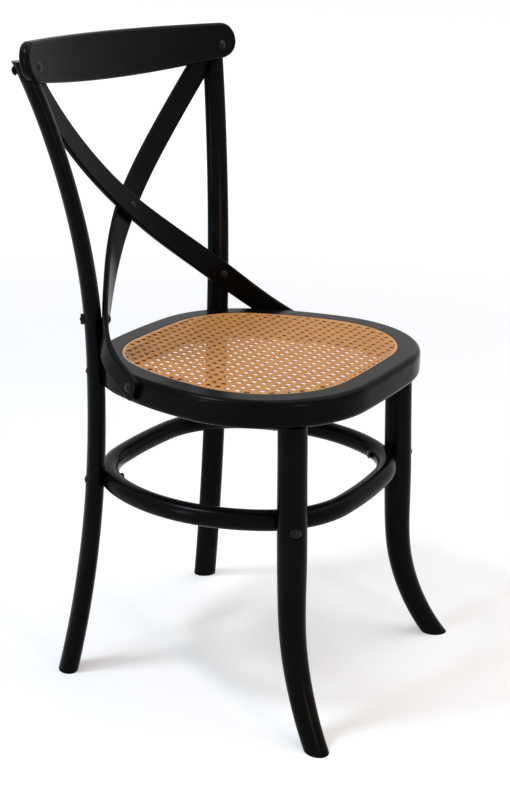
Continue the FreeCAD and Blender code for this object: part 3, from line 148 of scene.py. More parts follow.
@dataclass
class SeatOutline:
    """Outline of the seat rim: flat front and rear arcs, four round corners and two side arcs."""

    front_radius: float = 0.160
    front_side: float = 0.222
    front_end: float = 0.195
    front_bow: float = 0.0012
    rear_radius: float = 0.151
    rear_side: float = 0.201
    rear_end: float = 0.202
    rear_bow: float = 0.0018
    side_radius: float = 0.400
    centre_y: float = -0.013592
    chord_spacing: float = 0.002

    @staticmethod
    def flat_radius(reach: float, radius: float, bow: float) -> float:
        """Radius of the flat arc that touches both corner circles of one end.

        It follows from the right triangle between the arc's centre, a corner circle's centre
        and the plane of symmetry.

        Args:
            reach: Distance of the corner circles' centres from the plane of symmetry.
            radius: Radius of the corner circles.
            bow: How far the arc's middle stands past the corner circles.

        Returns:
            The radius.
        """
        return (reach ** 2 + (radius + bow) ** 2 - radius ** 2) / (2 * bow)

    @staticmethod
    def heading(start: np.ndarray, end: np.ndarray) -> float:
        """Direction from one centre to another.

        Args:
            start: Centre to look from.
            end: Centre to look at.

        Returns:
            The angle in radians.
        """
        return math.atan2(end[1] - start[1], end[0] - start[0])

    def arcs(self) -> list[Arc]:
        """Work out the right half as tangent arcs, front to rear.

        Each corner circle has its centre a radius inside the outline's reach. The flat arcs
        are centred on the plane of symmetry, and the side arc's centre is where it touches
        both corner circles from outside.

        Returns:
            The five arcs in the chair's own coordinates.
        """
        front = np.array([self.front_side - self.front_radius, self.front_radius - self.front_end])
        rear = np.array([self.rear_side - self.rear_radius, self.rear_end - self.rear_radius])
        front_flat = self.flat_radius(front[0], self.front_radius, self.front_bow)
        rear_flat = self.flat_radius(rear[0], self.rear_radius, self.rear_bow)
        front_axis = np.array([0.0, front[1] - self.front_radius - self.front_bow + front_flat])
        rear_axis = np.array([0.0, rear[1] + self.rear_radius + self.rear_bow - rear_flat])
        span = rear - front
        length = float(np.hypot(*span))
        to_front = self.side_radius - self.front_radius
        to_rear = self.side_radius - self.rear_radius
        along = (length ** 2 + to_front ** 2 - to_rear ** 2) / (2 * length)
        away = math.sqrt(to_front ** 2 - along ** 2)
        ahead = span / length
        side = front + ahead * along + np.array([-ahead[1], ahead[0]]) * away
        turns = [
            -math.pi / 2,
            self.heading(front_axis, front),
            self.heading(side, front),
            self.heading(side, rear),
            self.heading(rear_axis, rear),
            math.pi / 2,
        ]
        centres = [front_axis, front, side, rear, rear_axis]
        radii = [front_flat, self.front_radius, self.side_radius, self.rear_radius, rear_flat]
        return [
            Arc(float(centre[0]), float(centre[1]) + self.centre_y, radius, turns[index], turns[index + 1])
            for index, (centre, radius) in enumerate(zip(centres, radii))
        ]

    def loop(self, inset: float, spacing: float) -> tuple[np.ndarray, np.ndarray]:
        """Closed counter-clockwise loop of points on the outline moved inwards.

        Args:
            inset: Distance inwards from the outline.
            spacing: Wanted distance between points.

        Returns:
            Points, shape (n, 2), and their outward unit normals, shape (n, 2).
        """
        points: list[np.ndarray] = []
        normals: list[np.ndarray] = []
        for arc in self.arcs():
            radius = arc.radius - inset
            count = max(2, int(math.ceil(radius * (arc.end - arc.start) / spacing)))
            turn = np.linspace(arc.start, arc.end, count, endpoint=False)
            normal = np.stack([np.cos(turn), np.sin(turn)], axis=1)
            points.append(np.array([arc.x, arc.y]) + normal * radius)
            normals.append(normal)
        last = self.arcs()[-1]
        right = np.concatenate(points + [[[last.x, last.y + last.radius - inset]]])
        facing = np.concatenate(normals + [[[0.0, 1.0]]])
        mirror = np.array([-1.0, 1.0])
        left = right[-2:0:-1] * mirror
        left_facing = facing[-2:0:-1] * mirror
        return np.concatenate([right, left]), np.concatenate([facing, left_facing])

    def chord(self, point: np.ndarray, direction: np.ndarray, inset: float) -> tuple[float, float] | None:
        """Where a straight line enters and leaves the outline moved inwards.

        The closed loop is cut by the line: every loop edge whose ends lie on different sides of
        the line gives one crossing, and a convex outline gives two.

        Args:
            point: A point of the line, shape (2,).
            direction: Unit direction of the line, shape (2,).
            inset: Distance inwards from the outline.

        Returns:
            Distances along the line of the two crossings, or None where the line misses.
        """
        loop, _ = self.loop(inset, self.chord_spacing)
        offset = loop - point
        side = offset[:, 0] * direction[1] - offset[:, 1] * direction[0]
        along = offset @ direction
        next_side = np.roll(side, -1)
        next_along = np.roll(along, -1)
        cut = (side > 0) != (next_side > 0)
        if cut.sum() != 2:
            return None
        share = side[cut] / (side[cut] - next_side[cut])
        ends = along[cut] + (next_along[cut] - along[cut]) * share
        return float(ends.min()), float(ends.max())


# Finishes


class Nodes:
    """Small helper that adds and joins shader nodes in one material."""

    def __init__(self, name: str) -> None:
        """Start an empty material with an output and a principled shader.

        Args:
            name: Name of the material.
        """
        self.material = bpy.data.materials.new(name)
        self.material.use_nodes = True
        self.tree = self.material.node_tree
        self.tree.nodes.clear()
        self.shader = self.tree.nodes.new("ShaderNodeBsdfPrincipled")
        output = self.tree.nodes.new("ShaderNodeOutputMaterial")
        self.join(self.shader.outputs["BSDF"], output.inputs["Surface"])

    def join(self, source: bpy.types.NodeSocket, target: bpy.types.NodeSocket) -> None:
        """Link two sockets.

        Args:
            source: Output that gives the value.
            target: Input that takes it.
        """
        self.tree.links.new(source, target)

    def add(self, kind: str, **values: object) -> bpy.types.Node:
        """Add a node and set its properties.

        Args:
            kind: Node type.
            **values: Properties of the node, by name.

        Returns:
            The new node.
        """
        node = self.tree.nodes.new(kind)
        for key, value in values.items():
            setattr(node, key, value)
        return node

    def coordinates(self, stretch: Sequence[float], source: str = "Object") -> bpy.types.NodeSocket:
        """Texture coordinates scaled along each axis.

        Args:
            stretch: Scale along X, Y and Z.
            source: Output of the Texture Coordinate node.

        Returns:
            The scaled vector.
        """
        origin = self.add("ShaderNodeTexCoord")
        mapping = self.add("ShaderNodeMapping")
        mapping.inputs["Scale"].default_value = tuple(stretch)
        self.join(origin.outputs[source], mapping.inputs["Vector"])
        return mapping.outputs["Vector"]

    def noise(
        self, vector: bpy.types.NodeSocket, scale: float, detail: float = 3.0, rough: float = 0.5
    ) -> bpy.types.NodeSocket:
        """Noise value at a vector.

        Args:
            vector: Place at which the noise is read.
            scale: How fine the noise is.
            detail: Number of finer layers.
            rough: Share of the finer layers.

        Returns:
            The noise, 0-1.
        """
        node = self.add("ShaderNodeTexNoise")
        node.inputs["Scale"].default_value = scale
        node.inputs["Detail"].default_value = detail
        node.inputs["Roughness"].default_value = rough
        self.join(vector, node.inputs["Vector"])
        return node.outputs["Fac"]

    def ramp(
        self, value: bpy.types.NodeSocket, stops: Sequence[tuple[float, Sequence[float]]]
    ) -> bpy.types.NodeSocket:
        """Colour ramp over a value.

        Args:
            value: Number that drives the ramp.
            stops: Positions and RGB colours.

        Returns:
            The colour.
        """
        node = self.add("ShaderNodeValToRGB")
        elements = node.color_ramp.elements
        while len(elements) < len(stops):
            elements.new(0.5)
        for element, (place, colour) in zip(elements, stops):
            element.position = place
            element.color = (*colour, 1.0)
        self.join(value, node.inputs["Fac"])
        return node.outputs["Color"]

    def span(self, value: bpy.types.NodeSocket, low: float, high: float) -> bpy.types.NodeSocket:
        """Map a number from 0-1 to another range.

        Args:
            value: Number to map.
            low: What 0 becomes.
            high: What 1 becomes.

        Returns:
            The mapped number.
        """
        node = self.add("ShaderNodeMapRange")
        node.inputs["To Min"].default_value = low
        node.inputs["To Max"].default_value = high
        self.join(value, node.inputs["Value"])
        return node.outputs["Result"]

    def bump(self, height: bpy.types.NodeSocket, distance: float, strength: float = 1.0) -> None:
        """Give the shader a bumped normal from a height.

        Args:
            height: Height, 0-1.
            distance: Metres that a height of 1 stands for.
            strength: Share of the bump that is used.
        """
        node = self.add("ShaderNodeBump")
        node.inputs["Distance"].default_value = distance
        node.inputs["Strength"].default_value = strength
        self.join(height, node.inputs["Height"])
        self.join(node.outputs["Normal"], self.shader.inputs["Normal"])


class Grain(Enum):
    """Way the wood's grain runs, as the scale of the noise along X, Y and Z."""

    UPRIGHT = (260.0, 260.0, 9.0)
    ACROSS = (10.0, 260.0, 260.0)
    RING = (60.0, 60.0, 260.0)


@dataclass(frozen=True)
class SatinLacquer:
    """Black lacquer on beech: a thin satin film through which the pores still show a little."""

    black: tuple[float, float, float] = (0.0014, 0.0014, 0.0017)
    worn: tuple[float, float, float] = (0.0036, 0.0033, 0.0031)
    roughness: float = 0.22
    shinier: float = 0.05
    duller: float = 0.07
    specular: float = 0.04
    cloud_scale: float = 14.0
    pore_depth: float = 0.00005
    pore_strength: float = 0.6

    def material(self, grain: Grain) -> bpy.types.Material:
        """Build the lacquer for one direction of grain.

        Args:
            grain: Direction in which the grain is drawn out.

        Returns:
            The material.
        """
        nodes = Nodes("satin_black_lacquer_" + grain.name.lower())
        drawn = nodes.coordinates(grain.value)
        plain = nodes.coordinates((1.0, 1.0, 1.0))
        pores = nodes.noise(drawn, 1.0, 4.0, 0.6)
        clouds = nodes.noise(plain, self.cloud_scale, 3.0, 0.55)
        colour = nodes.ramp(clouds, [(0.35, self.black), (0.75, self.worn)])
        nodes.join(colour, nodes.shader.inputs["Base Color"])
        nodes.join(
            nodes.span(clouds, self.roughness - self.shinier, self.roughness + self.duller),
            nodes.shader.inputs["Roughness"],
        )
        nodes.shader.inputs["Specular IOR Level"].default_value = self.specular
        nodes.bump(pores, self.pore_depth, self.pore_strength)
        return nodes.material


@dataclass(frozen=True)
class SplitCane:
    """Glossy outer bark of rattan, split into flat strands."""

    light: tuple[float, float, float] = (0.63, 0.280, 0.042)
    dark: tuple[float, float, float] = (0.34, 0.112, 0.013)
    roughness: float = 0.38
    coat: float = 0.20
    coat_roughness: float = 0.25
    shinier: float = 0.08
    duller: float = 0.10
    blotch_stretch: tuple[float, float, float] = (30.0, 1.0, 1.0)
    fibre_stretch: tuple[float, float, float] = (4.0, 26.0, 1.0)
    fibre_depth: float = 0.00005
    fibre_strength: float = 0.5

    def material(self) -> bpy.types.Material:
        """Build the cane finish, which follows each strand by its UV map.

        Returns:
            The material.
        """
        nodes = Nodes("split_cane")
        along = nodes.coordinates(self.blotch_stretch, "UV")
        fibres = nodes.coordinates(self.fibre_stretch, "UV")
        blotch = nodes.noise(along, 1.0, 3.0, 0.6)
        streak = nodes.noise(fibres, 1.0, 2.0, 0.5)
        mix = nodes.add("ShaderNodeMath", operation="ADD")
        nodes.join(nodes.span(blotch, -0.1, 0.75), mix.inputs[0])
        nodes.join(nodes.span(streak, -0.1, 0.45), mix.inputs[1])
        colour = nodes.ramp(mix.outputs["Value"], [(0.25, self.dark), (0.72, self.light)])
        nodes.join(colour, nodes.shader.inputs["Base Color"])
        nodes.join(
            nodes.span(streak, self.roughness - self.shinier, self.roughness + self.duller),
            nodes.shader.inputs["Roughness"],
        )
        nodes.shader.inputs["Coat Weight"].default_value = self.coat
        nodes.shader.inputs["Coat Roughness"].default_value = self.coat_roughness
        nodes.bump(streak, self.fibre_depth, self.fibre_strength)
        return nodes.material


@dataclass(frozen=True)
class BlackenedSteel:
    """Black-coated steel of the bolts and nuts, rubbed a little brighter here and there."""

    black: tuple[float, float, float] = (0.004, 0.004, 0.005)
    rubbed: tuple[float, float, float] = (0.020, 0.019, 0.018)
    roughness: float = 0.26
    shinier: float = 0.06
    duller: float = 0.16
    specular: float = 0.15
    metal: float = 0.35
    rub_scale: float = 320.0
    rub_depth: float = 0.00004
    rub_strength: float = 0.5

    def material(self) -> bpy.types.Material:
        """Build the steel finish.

        Returns:
            The material.
        """
        nodes = Nodes("blackened_steel")
        plain = nodes.coordinates((1.0, 1.0, 1.0))
        rub = nodes.noise(plain, self.rub_scale, 3.0, 0.6)
        colour = nodes.ramp(rub, [(0.45, self.black), (0.8, self.rubbed)])
        nodes.join(colour, nodes.shader.inputs["Base Color"])
        nodes.join(
            nodes.span(rub, self.roughness - self.shinier, self.roughness + self.duller),
            nodes.shader.inputs["Roughness"],
        )
        nodes.shader.inputs["Metallic"].default_value = self.metal
        nodes.shader.inputs["Specular IOR Level"].default_value = self.specular
        nodes.bump(rub, self.rub_depth, self.rub_strength)
        return nodes.material


# Woven seat


class Run(Enum):
    """Direction in which a family of cane strands runs."""

    FRONT_TO_BACK = (0.0, 1.0)
    SIDE_TO_SIDE = (1.0, 0.0)
    RISING = (math.sqrt(0.5), math.sqrt(0.5))
    FALLING = (math.sqrt(0.5), -math.sqrt(0.5))

    @property
    def straight(self) -> bool:
        """Whether the strands run square to the seat and in pairs."""
        return self in (Run.FRONT_TO_BACK, Run.SIDE_TO_SIDE)


@dataclass(frozen=True)
class StrandLine:
    """Endless line of one strand: a point in plan, its weave's side, a lattice line's place and its width."""

    start: np.ndarray
    parity: float
    shift: float
    width: float


@dataclass
class CaneWeave:
    """Six-way cane: pairs of strands both ways and single diagonals that leave octagonal holes."""

    outline: SeatOutline
    finish: SplitCane = field(default_factory=SplitCane)
    pitch: float = 0.014
    strand_width: float = 0.0029
    diagonal_width: float = 0.0029
    strand_thickness: float = 0.0012
    pair_offset: float = 0.00172
    pair_lift: float = 0.00055
    diagonal_lift: float = 0.00098
    diagonal_crossing: float = 0.0041
    middle_height: float = 0.4584
    edge_inset: float = 0.0352
    edge_fade: float = 0.006
    end_clearance: float = 0.0006
    shortest: float = 0.006
    crown_share: float = 0.62
    reach: int = 40
    seed: int = 7
    uv_spread: float = 40.0

    def stations(self, low: float, high: float, run: Run, shift: float) -> np.ndarray:
        """Distances along a strand at which its sections stand.

        On a straight strand they are at its crossings with both strands of a pair, between
        them, and at its crossings with the diagonals. On a diagonal they are evenly spaced.

        Args:
            low: Where the strand starts.
            high: Where the strand ends.
            run: Family of the strand.
            shift: Distance along the strand of a lattice line.

        Returns:
            Sorted distances with both ends in them.
        """
        if run.straight:
            step = self.pitch
            pair, diagonal = self.pair_offset, self.diagonal_crossing
            local = np.array([-pair, 0.0, pair, diagonal, self.pitch / 2, self.pitch - diagonal])
        else:
            step = self.pitch * math.sqrt(0.5)
            local = np.arange(4) * step / 4
        first = math.floor((low - shift) / step) - 1
        last = math.ceil((high - shift) / step) + 1
        every = (np.arange(first, last)[:, None] * step + local[None, :]).ravel() + shift
        inside = every[(every > low + self.end_clearance) & (every < high - self.end_clearance)]
        return np.concatenate([[low], inside, [high]])

    def pair_height(self, along: np.ndarray, parity: float) -> np.ndarray:
        """Height of a straight strand above the middle of the weave.

        The strand goes over one strand of each crossing pair and under the other: the lift
        times a sine of the distance from the pair's middle line, which reaches its top over
        one strand and its bottom over the other, and fades to nothing towards the diagonals.

        Args:
            along: Distance along the strand from a lattice line.
            parity: +1 or -1, the side on which the strand is on top.

        Returns:
            Heights at the stations.
        """
        local = (along + self.pitch / 2) % self.pitch - self.pitch / 2
        swing = np.sin(np.clip(local / self.pair_offset, -2.0, 2.0) * math.pi / 2)
        return self.pair_lift * parity * swing

    def diagonal_height(self, along: np.ndarray, parity: float) -> np.ndarray:
        """Height of a diagonal strand above the middle of the weave.

        It is the lift times a cosine of the distance, highest over one family of pairs and
        lowest under the other.

        Args:
            along: Distance along the strand from a lattice line.
            parity: +1 or -1, the side on which the strand is on top.

        Returns:
            Heights at the stations.
        """
        return self.diagonal_lift * parity * np.cos(along / (self.pitch * math.sqrt(0.5)) * math.pi)

    def section(self, width: float) -> np.ndarray:
        """Flat lens of one strand: a crowned upper side over a flatter lower side.

        Args:
            width: Width of the strand.

        Returns:
            Sideways and upward offsets, shape (6, 2), counter-clockwise seen along the strand.
        """
        half = width / 2
        crown = self.strand_thickness * self.crown_share
        belly = crown - self.strand_thickness
        return np.array(
            [
                [half, 0.0],
                [half * 0.45, crown],
                [-half * 0.45, crown],
                [-half, 0.0],
                [-half * 0.6, belly],
                [half * 0.6, belly],
            ]
        )

    def strand(
        self, line: StrandLine, run: Run, along: np.ndarray, height: np.ndarray
    ) -> tuple[np.ndarray, np.ndarray]:
        """Carry the lens section along one straight strand.

        Every vertex is the strand's start, plus its distance along the run, plus the section's
        sideways offset across the run, raised by the strand's height and the section's own.

        Args:
            line: Line of the strand.
            run: Family of the strand.
            along: Distances along the run.
            height: Heights at those distances.

        Returns:
            Points, shape (stations * 6, 3), and section coordinates 0-1, shape (stations * 6,).
        """
        ahead = np.array(run.value)
        across = np.array([ahead[1], -ahead[0]])
        section = self.section(line.width)
        middle = line.start[None, :] + along[:, None] * ahead[None, :]
        plan = middle[:, None, :] + section[None, :, :1] * across[None, None, :]
        up = height[:, None] + section[None, :, 1] + self.middle_height
        points = np.concatenate([plan, up[:, :, None]], axis=2).reshape(-1, 3)
        share = np.broadcast_to(section[None, :, 0] / line.width + 0.5, up.shape).ravel()
        return points, share

    def lines(self, run: Run) -> list[StrandLine]:
        """Lines of one family of strands, in pairs where the strands are straight.

        Args:
            run: Family of the strands.

        Returns:
            The lines, some of which miss the seat.
        """
        centre = np.array([0.0, self.outline.centre_y])
        found: list[StrandLine] = []
        for index in range(-self.reach, self.reach + 1):
            if run.straight:
                aside = np.array([1.0, 0.0]) if run is Run.FRONT_TO_BACK else np.array([0.0, 1.0])
                turned = 1.0 if run is Run.FRONT_TO_BACK else -1.0
                for side in (-1, 1):
                    start = aside * (index * self.pitch + side * self.pair_offset)
                    found.append(StrandLine(start + centre, turned * side, 0.0, self.strand_width))
            else:
                offset = (index + 0.5) * self.pitch
                tilt = 1.0 if run is Run.RISING else -1.0
                start = np.array([offset / 2, -tilt * offset / 2])
                shift = offset * math.sqrt(0.5) * tilt
                found.append(StrandLine(start + centre, 1.0, shift, self.diagonal_width))
        return found

    def family(self, name: str, runs: Iterable[Run], material: bpy.types.Material) -> bpy.types.Object:
        """Weave one or two families of strands into one piece.

        Args:
            name: Name of the piece.
            runs: Families of strands in it.
            material: Finish of the strands.

        Returns:
            The piece.
        """
        points: list[np.ndarray] = []
        faces: list[np.ndarray] = []
        uv: list[np.ndarray] = []
        total = 0
        around = len(self.section(self.strand_width))
        dice = np.random.default_rng(self.seed)
        for run in runs:
            wave = self.pair_height if run.straight else self.diagonal_height
            for line in self.lines(run):
                ends = self.outline.chord(line.start, np.array(run.value), self.edge_inset)
                if ends is None or ends[1] - ends[0] < self.shortest:
                    continue
                along = self.stations(ends[0], ends[1], run, line.shift)
                edge = np.minimum(along - ends[0], ends[1] - along)
                height = wave(along - line.shift, line.parity) * np.clip(edge / self.edge_fade, 0.0, 1.0)
                strand, share = self.strand(line, run, along, height)
                faces.append(tube_faces(len(along), around) + total)
                points.append(strand)
                shift_u = dice.uniform(0.0, self.uv_spread)
                shift_v = dice.uniform(0.0, self.uv_spread)
                uv.append(np.stack([np.repeat(along, around) + shift_u, share + shift_v], axis=1))
                total += len(strand)
        piece = mesh_object(name, np.concatenate(points), np.concatenate(faces))
        set_uv(piece, np.concatenate(uv))
        piece.data.materials.append(material)
        return piece

    def build(self) -> list[bpy.types.Object]:
        """Weave the seat and put it in place of the CAD sheet.

        Returns:
            The pieces of the woven sheet.
        """
        cane = self.finish.material()
        square = self.family("cane_square_strands", (Run.FRONT_TO_BACK, Run.SIDE_TO_SIDE), cane)
        diagonal = self.family("cane_diagonal_strands", (Run.RISING, Run.FALLING), cane)
        for piece in (square, diagonal):
            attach(piece, BODY)
            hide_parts("cane_panel")
            LOG.info("%s: %d faces", piece.name, len(piece.data.polygons))
        return [square, diagonal]


@dataclass
class ReedSpline:
    """Half-round reed pressed into the groove round the seat, over the ends of the cane."""

    outline: SeatOutline
    finish: SplitCane = field(default_factory=lambda: SplitCane(coat=0.35, roughness=0.32))
    outer_inset: float = 0.0318
    inner_inset: float = 0.0354
    bottom: float = 0.4545
    shoulder: float = 0.4588
    crown: float = 0.0009
    around: int = 9
    spacing: float = 0.004

    def build(self) -> bpy.types.Object:
        """Carry the reed's profile round the seat.

        The profile is two upright sides closed by a half-ellipse on top and a flat bottom. At
        every point of the outline it is laid along the inward normal, so a vertex is the
        outline moved inwards by the profile's inset, at the profile's height.

        Returns:
            The reed.
        """
        turn = np.linspace(0.0, math.pi, self.around)
        middle = (self.outer_inset + self.inner_inset) / 2
        half = (self.inner_inset - self.outer_inset) / 2
        inset = np.concatenate([[middle - half, middle + half], middle + half * np.cos(turn)])[::-1]
        top = self.shoulder + self.crown * np.sin(turn)
        height = np.concatenate([[self.bottom, self.bottom], top])[::-1]
        line, facing = self.outline.loop(0.0, self.spacing)
        plan = line[:, None, :] - inset[None, :, None] * facing[:, None, :]
        up = np.broadcast_to(height[None, :], plan.shape[:2])
        points = np.concatenate([plan, up[:, :, None]], axis=2).reshape(-1, 3)
        faces = tube_faces(len(line), len(inset), closed_path=True)
        reed = mesh_object("reed_spline", points, faces)
        step = np.hypot(*(np.roll(line, -1, axis=0) - line).T)
        travelled = np.concatenate([[0.0], np.cumsum(step)[:-1]])
        share = np.linspace(0.0, 1.0, len(inset))
        uv = np.stack(np.broadcast_arrays(travelled[:, None], share[None, :]), axis=-1)
        set_uv(reed, uv.reshape(-1, 2))
        reed.data.materials.append(self.finish.material())
        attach(reed, BODY)
        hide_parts("cane_spline")
        LOG.info("%s: %d faces", reed.name, len(reed.data.polygons))
        return reed


# Studio


def seen_by_eye_or_mirror(tree: bpy.types.NodeTree) -> bpy.types.NodeSocket:
    """Tell rays that show a picture from rays that carry light to matt surfaces.

    Args:
        tree: Node tree that gets the nodes.

    Returns:
        1 for rays from the camera, a glossy surface or glass, and 0 for other rays.
    """
    path = tree.nodes.new("ShaderNodeLightPath")
    value = path.outputs["Is Camera Ray"]
    for kind in ("Is Glossy Ray", "Is Transmission Ray"):
        both = tree.nodes.new("ShaderNodeMath")
        both.operation = "MAXIMUM"
        tree.links.new(value, both.inputs[0])
        tree.links.new(path.outputs[kind], both.inputs[1])
        value = both.outputs["Value"]
    return value


@dataclass(frozen=True)
class Softbox:
    """One soft rectangular lamp: place, aim and size in metres, power in watts."""

    name: str
    place: tuple[float, float, float]
    aim: tuple[float, float, float]
    size: tuple[float, float]
    power: float
    colour: tuple[float, float, float]

    def hang(self) -> bpy.types.Object:
        """Hang the lamp in the scene, facing its aim.

        Returns:
            The lamp.
        """
        data = bpy.data.lights.new(self.name, "AREA")
        data.shape = "RECTANGLE"
        data.size, data.size_y = self.size
        data.energy = self.power
        data.color = self.colour
        thing = bpy.data.objects.new(self.name, data)
        thing.location = Vector(self.place)
        facing = Vector(self.aim) - Vector(self.place)
        thing.rotation_euler = facing.to_track_quat("-Z", "Y").to_euler()
        bpy.context.scene.collection.objects.link(thing)
        return thing


@dataclass
class Studio:
    """Pale floor and surroundings, plain soft lights and the photograph's camera."""

    camera_place: tuple[float, float, float] = (-1.65698, -0.92631, 1.01703)
    yaw: float = 1.064
    pitch: float = 0.318
    roll: float = 0.021
    focal_pixels: float = 1443.36
    centre_pixels: tuple[float, float] = (255.9, 393.9)
    frame_pixels: tuple[int, int] = (510, 788)
    sensor: float = 36.0
    floor_reach: float = 14.0
    floor_colour: tuple[float, float, float, float] = (0.86, 0.86, 0.86, 1.0)
    world_colour: tuple[float, float, float, float] = (0.92, 0.95, 1.0, 1.0)
    white: tuple[float, float, float, float] = (1.0, 1.0, 1.0, 1.0)
    world_strength: float = 0.35
    near_floor: float = 0.9
    far_floor: float = 4.5
    near_lift: float = 0.30
    far_lift: float = 0.85

    def camera(self) -> bpy.types.Object:
        """Place the camera at the photograph's angle.

        Returns:
            The camera object.
        """
        data = bpy.data.cameras.new("photo_camera")
        forward = Vector(
            (
                math.cos(self.pitch) * math.sin(self.yaw),
                math.cos(self.pitch) * math.cos(self.yaw),
                -math.sin(self.pitch),
            )
        )
        right = Vector((math.cos(self.yaw), -math.sin(self.yaw), 0.0))
        up = right.cross(forward)
        right_turned = right * math.cos(self.roll) + up * math.sin(self.roll)
        up_turned = up * math.cos(self.roll) - right * math.sin(self.roll)
        matrix = Matrix((right_turned, up_turned, -forward)).transposed().to_4x4()
        matrix.translation = Vector(self.camera_place)
        width, height = self.frame_pixels
        data.sensor_fit = "AUTO"
        data.sensor_width = self.sensor
        data.lens = self.focal_pixels * self.sensor / height
        data.shift_x = (width / 2 - self.centre_pixels[0]) / height
        data.shift_y = (self.centre_pixels[1] - height / 2) / height
        thing = bpy.data.objects.new("photo_camera", data)
        thing.matrix_world = matrix
        bpy.context.scene.collection.objects.link(thing)
        bpy.context.scene.camera = thing
        return thing

    def floor(self) -> bpy.types.Object:
        """Lay a wide pale floor that keeps the chair's shadow and fades to white far away.

        Returns:
            The floor.
        """
        square = np.array([[-1.0, -1.0, 0.0], [1.0, -1.0, 0.0], [1.0, 1.0, 0.0], [-1.0, 1.0, 0.0]])
        corner = square * self.floor_reach
        ground = mesh_object("floor", corner, np.array([[0, 1, 2, 3]]), smooth=False)
        nodes = Nodes("pale_floor")
        nodes.shader.inputs["Base Color"].default_value = self.floor_colour
        nodes.shader.inputs["Roughness"].default_value = 0.9
        nodes.shader.inputs["Specular IOR Level"].default_value = 0.0
        place = nodes.add("ShaderNodeTexCoord")
        distance = nodes.add("ShaderNodeVectorMath", operation="LENGTH")
        nodes.join(place.outputs["Object"], distance.inputs[0])
        lift = nodes.add("ShaderNodeMapRange", interpolation_type="SMOOTHSTEP")
        lift.inputs["From Min"].default_value = self.near_floor
        lift.inputs["From Max"].default_value = self.far_floor
        lift.inputs["To Min"].default_value = self.near_lift
        lift.inputs["To Max"].default_value = self.far_lift
        nodes.join(distance.outputs["Value"], lift.inputs["Value"])
        seen = nodes.add("ShaderNodeMath", operation="MULTIPLY")
        nodes.join(lift.outputs["Result"], seen.inputs[0])
        nodes.join(seen_by_eye_or_mirror(nodes.tree), seen.inputs[1])
        nodes.shader.inputs["Emission Color"].default_value = self.white
        nodes.join(seen.outputs["Value"], nodes.shader.inputs["Emission Strength"])
        ground.data.materials.append(nodes.material)
        return ground

    def world(self) -> None:
        """Fill the surroundings with an even pale light that the camera sees as white."""
        world = bpy.data.worlds.new("pale_surroundings")
        world.use_nodes = True
        tree = world.node_tree
        tree.nodes.clear()
        seen = tree.nodes.new("ShaderNodeBackground")
        seen.inputs["Color"].default_value = self.white
        seen.inputs["Strength"].default_value = 1.0
        given = tree.nodes.new("ShaderNodeBackground")
        given.inputs["Color"].default_value = self.world_colour
        given.inputs["Strength"].default_value = self.world_strength
        mix = tree.nodes.new("ShaderNodeMixShader")
        output = tree.nodes.new("ShaderNodeOutputWorld")
        tree.links.new(seen_by_eye_or_mirror(tree), mix.inputs["Fac"])
        tree.links.new(given.outputs["Background"], mix.inputs[1])
        tree.links.new(seen.outputs["Background"], mix.inputs[2])
        tree.links.new(mix.outputs["Shader"], output.inputs["Surface"])
        bpy.context.scene.world = world

    def build(self) -> None:
        """Set up the camera, the floor and the light."""
        bpy.context.scene.view_settings.view_transform = "Standard"
        self.camera()
        self.floor()
        self.world()
        for lamp in (
            Softbox("window_softbox", (-0.9, 0.8, 2.4), (0.0, 0.0, 0.45), (0.5, 0.4), 28.0, (0.82, 0.91, 1.0)),
            Softbox("top_softbox", (0.7, -0.7, 2.6), (0.0, 0.0, 0.4), (2.0, 2.0), 28.0, (1.0, 0.99, 0.97)),
            Softbox("cool_strip", (-2.3, 0.9, 1.1), (0.0, 0.0, 0.6), (0.25, 1.2), 14.0, (0.68, 0.84, 1.0)),
            Softbox("warm_strip", (-1.05, -2.1, 0.9), (0.2, 0.2, 0.75), (0.16, 0.9), 13.0, (1.0, 0.58, 0.28)),
        ):
            lamp.hang()


# Chair


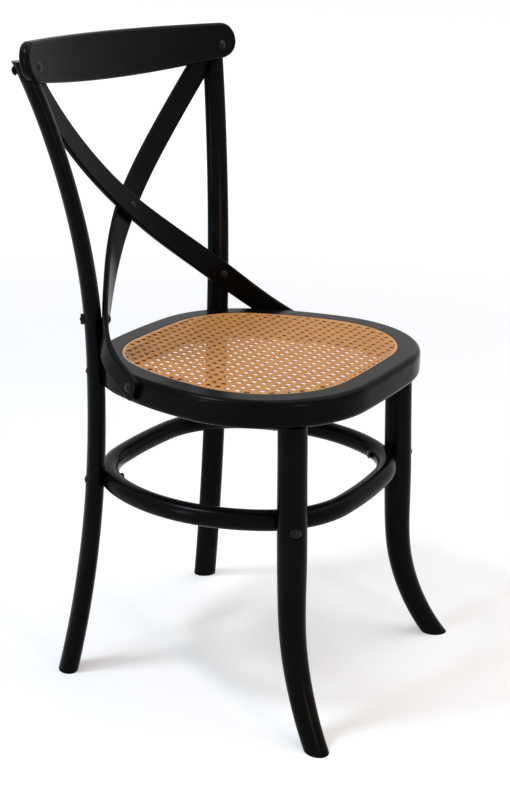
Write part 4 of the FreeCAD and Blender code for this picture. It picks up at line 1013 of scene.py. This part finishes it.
@dataclass
class WoodFrame:
    """Lacquered wooden pieces that keep their CAD shape."""

    finish: SatinLacquer = field(default_factory=SatinLacquer)
    upright: tuple[str, ...] = (
        "front_leg_left",
        "front_leg_right",
        "rear_leg_left",
        "rear_leg_right",
        "cross_lath_front",
        "cross_lath_rear",
    )
    rings: tuple[str, ...] = ("seat_frame", "leg_ring")
    across: tuple[str, ...] = ("top_rail",)

    def dress(self, nodes: dict[str, bpy.types.Object]) -> None:
        """Give each wooden piece its lacquer.

        Args:
            nodes: CAD nodes by name.
        """
        groups = {Grain.UPRIGHT: self.upright, Grain.RING: self.rings, Grain.ACROSS: self.across}
        for grain, names in groups.items():
            material = self.finish.material(grain)
            for name in names:
                dress_node(nodes[name], material)
                LOG.info("%s: %s", name, material.name)


def dress_node(node: bpy.types.Object, material: bpy.types.Material) -> None:
    """Put one material in every slot of a CAD node.

    Args:
        node: CAD node.
        material: Its finish.
    """
    if not node.material_slots:
        node.data.materials.append(material)
    for place in node.material_slots:
        place.material = material


@dataclass
class Fasteners:
    """Bolts, nuts and screws of blackened steel."""

    finish: BlackenedSteel = field(default_factory=BlackenedSteel)
    names: tuple[str, ...] = (
        "ring_bolts",
        "ring_nuts",
        "seat_bolts",
        "seat_nuts",
        "rail_bolts",
        "rail_dome_nuts",
        "lath_post_bolts",
        "lath_square_nuts",
        "lath_rim_screws",
        "lath_top_screws",
        "crossing_screw",
    )

    def dress(self, nodes: dict[str, bpy.types.Object]) -> None:
        """Give each fastener its steel finish.

        Args:
            nodes: CAD nodes by name.
        """
        material = self.finish.material()
        for name in self.names:
            dress_node(nodes[name], material)
            LOG.info("%s: %s", name, material.name)


def corners(pair: Iterable[Iterable[float]]) -> list[list[float]]:
    """Write a box as plain lists of numbers.

    Args:
        pair: Lowest and highest corner.

    Returns:
        The two corners.
    """
    return [[float(value) for value in corner] for corner in pair]


def main() -> None:
    """Dress the frame, weave the seat and set up the studio."""
    logging.basicConfig(level=logging.INFO, format="%(name)s: %(message)s")
    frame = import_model()
    nodes = frame["nodes"]
    WoodFrame().dress(nodes)
    Fasteners().dress(nodes)
    outline = SeatOutline()
    CaneWeave(outline).build()
    ReedSpline(outline).build()
    Studio().build()


if __name__ == "__main__":
    main()
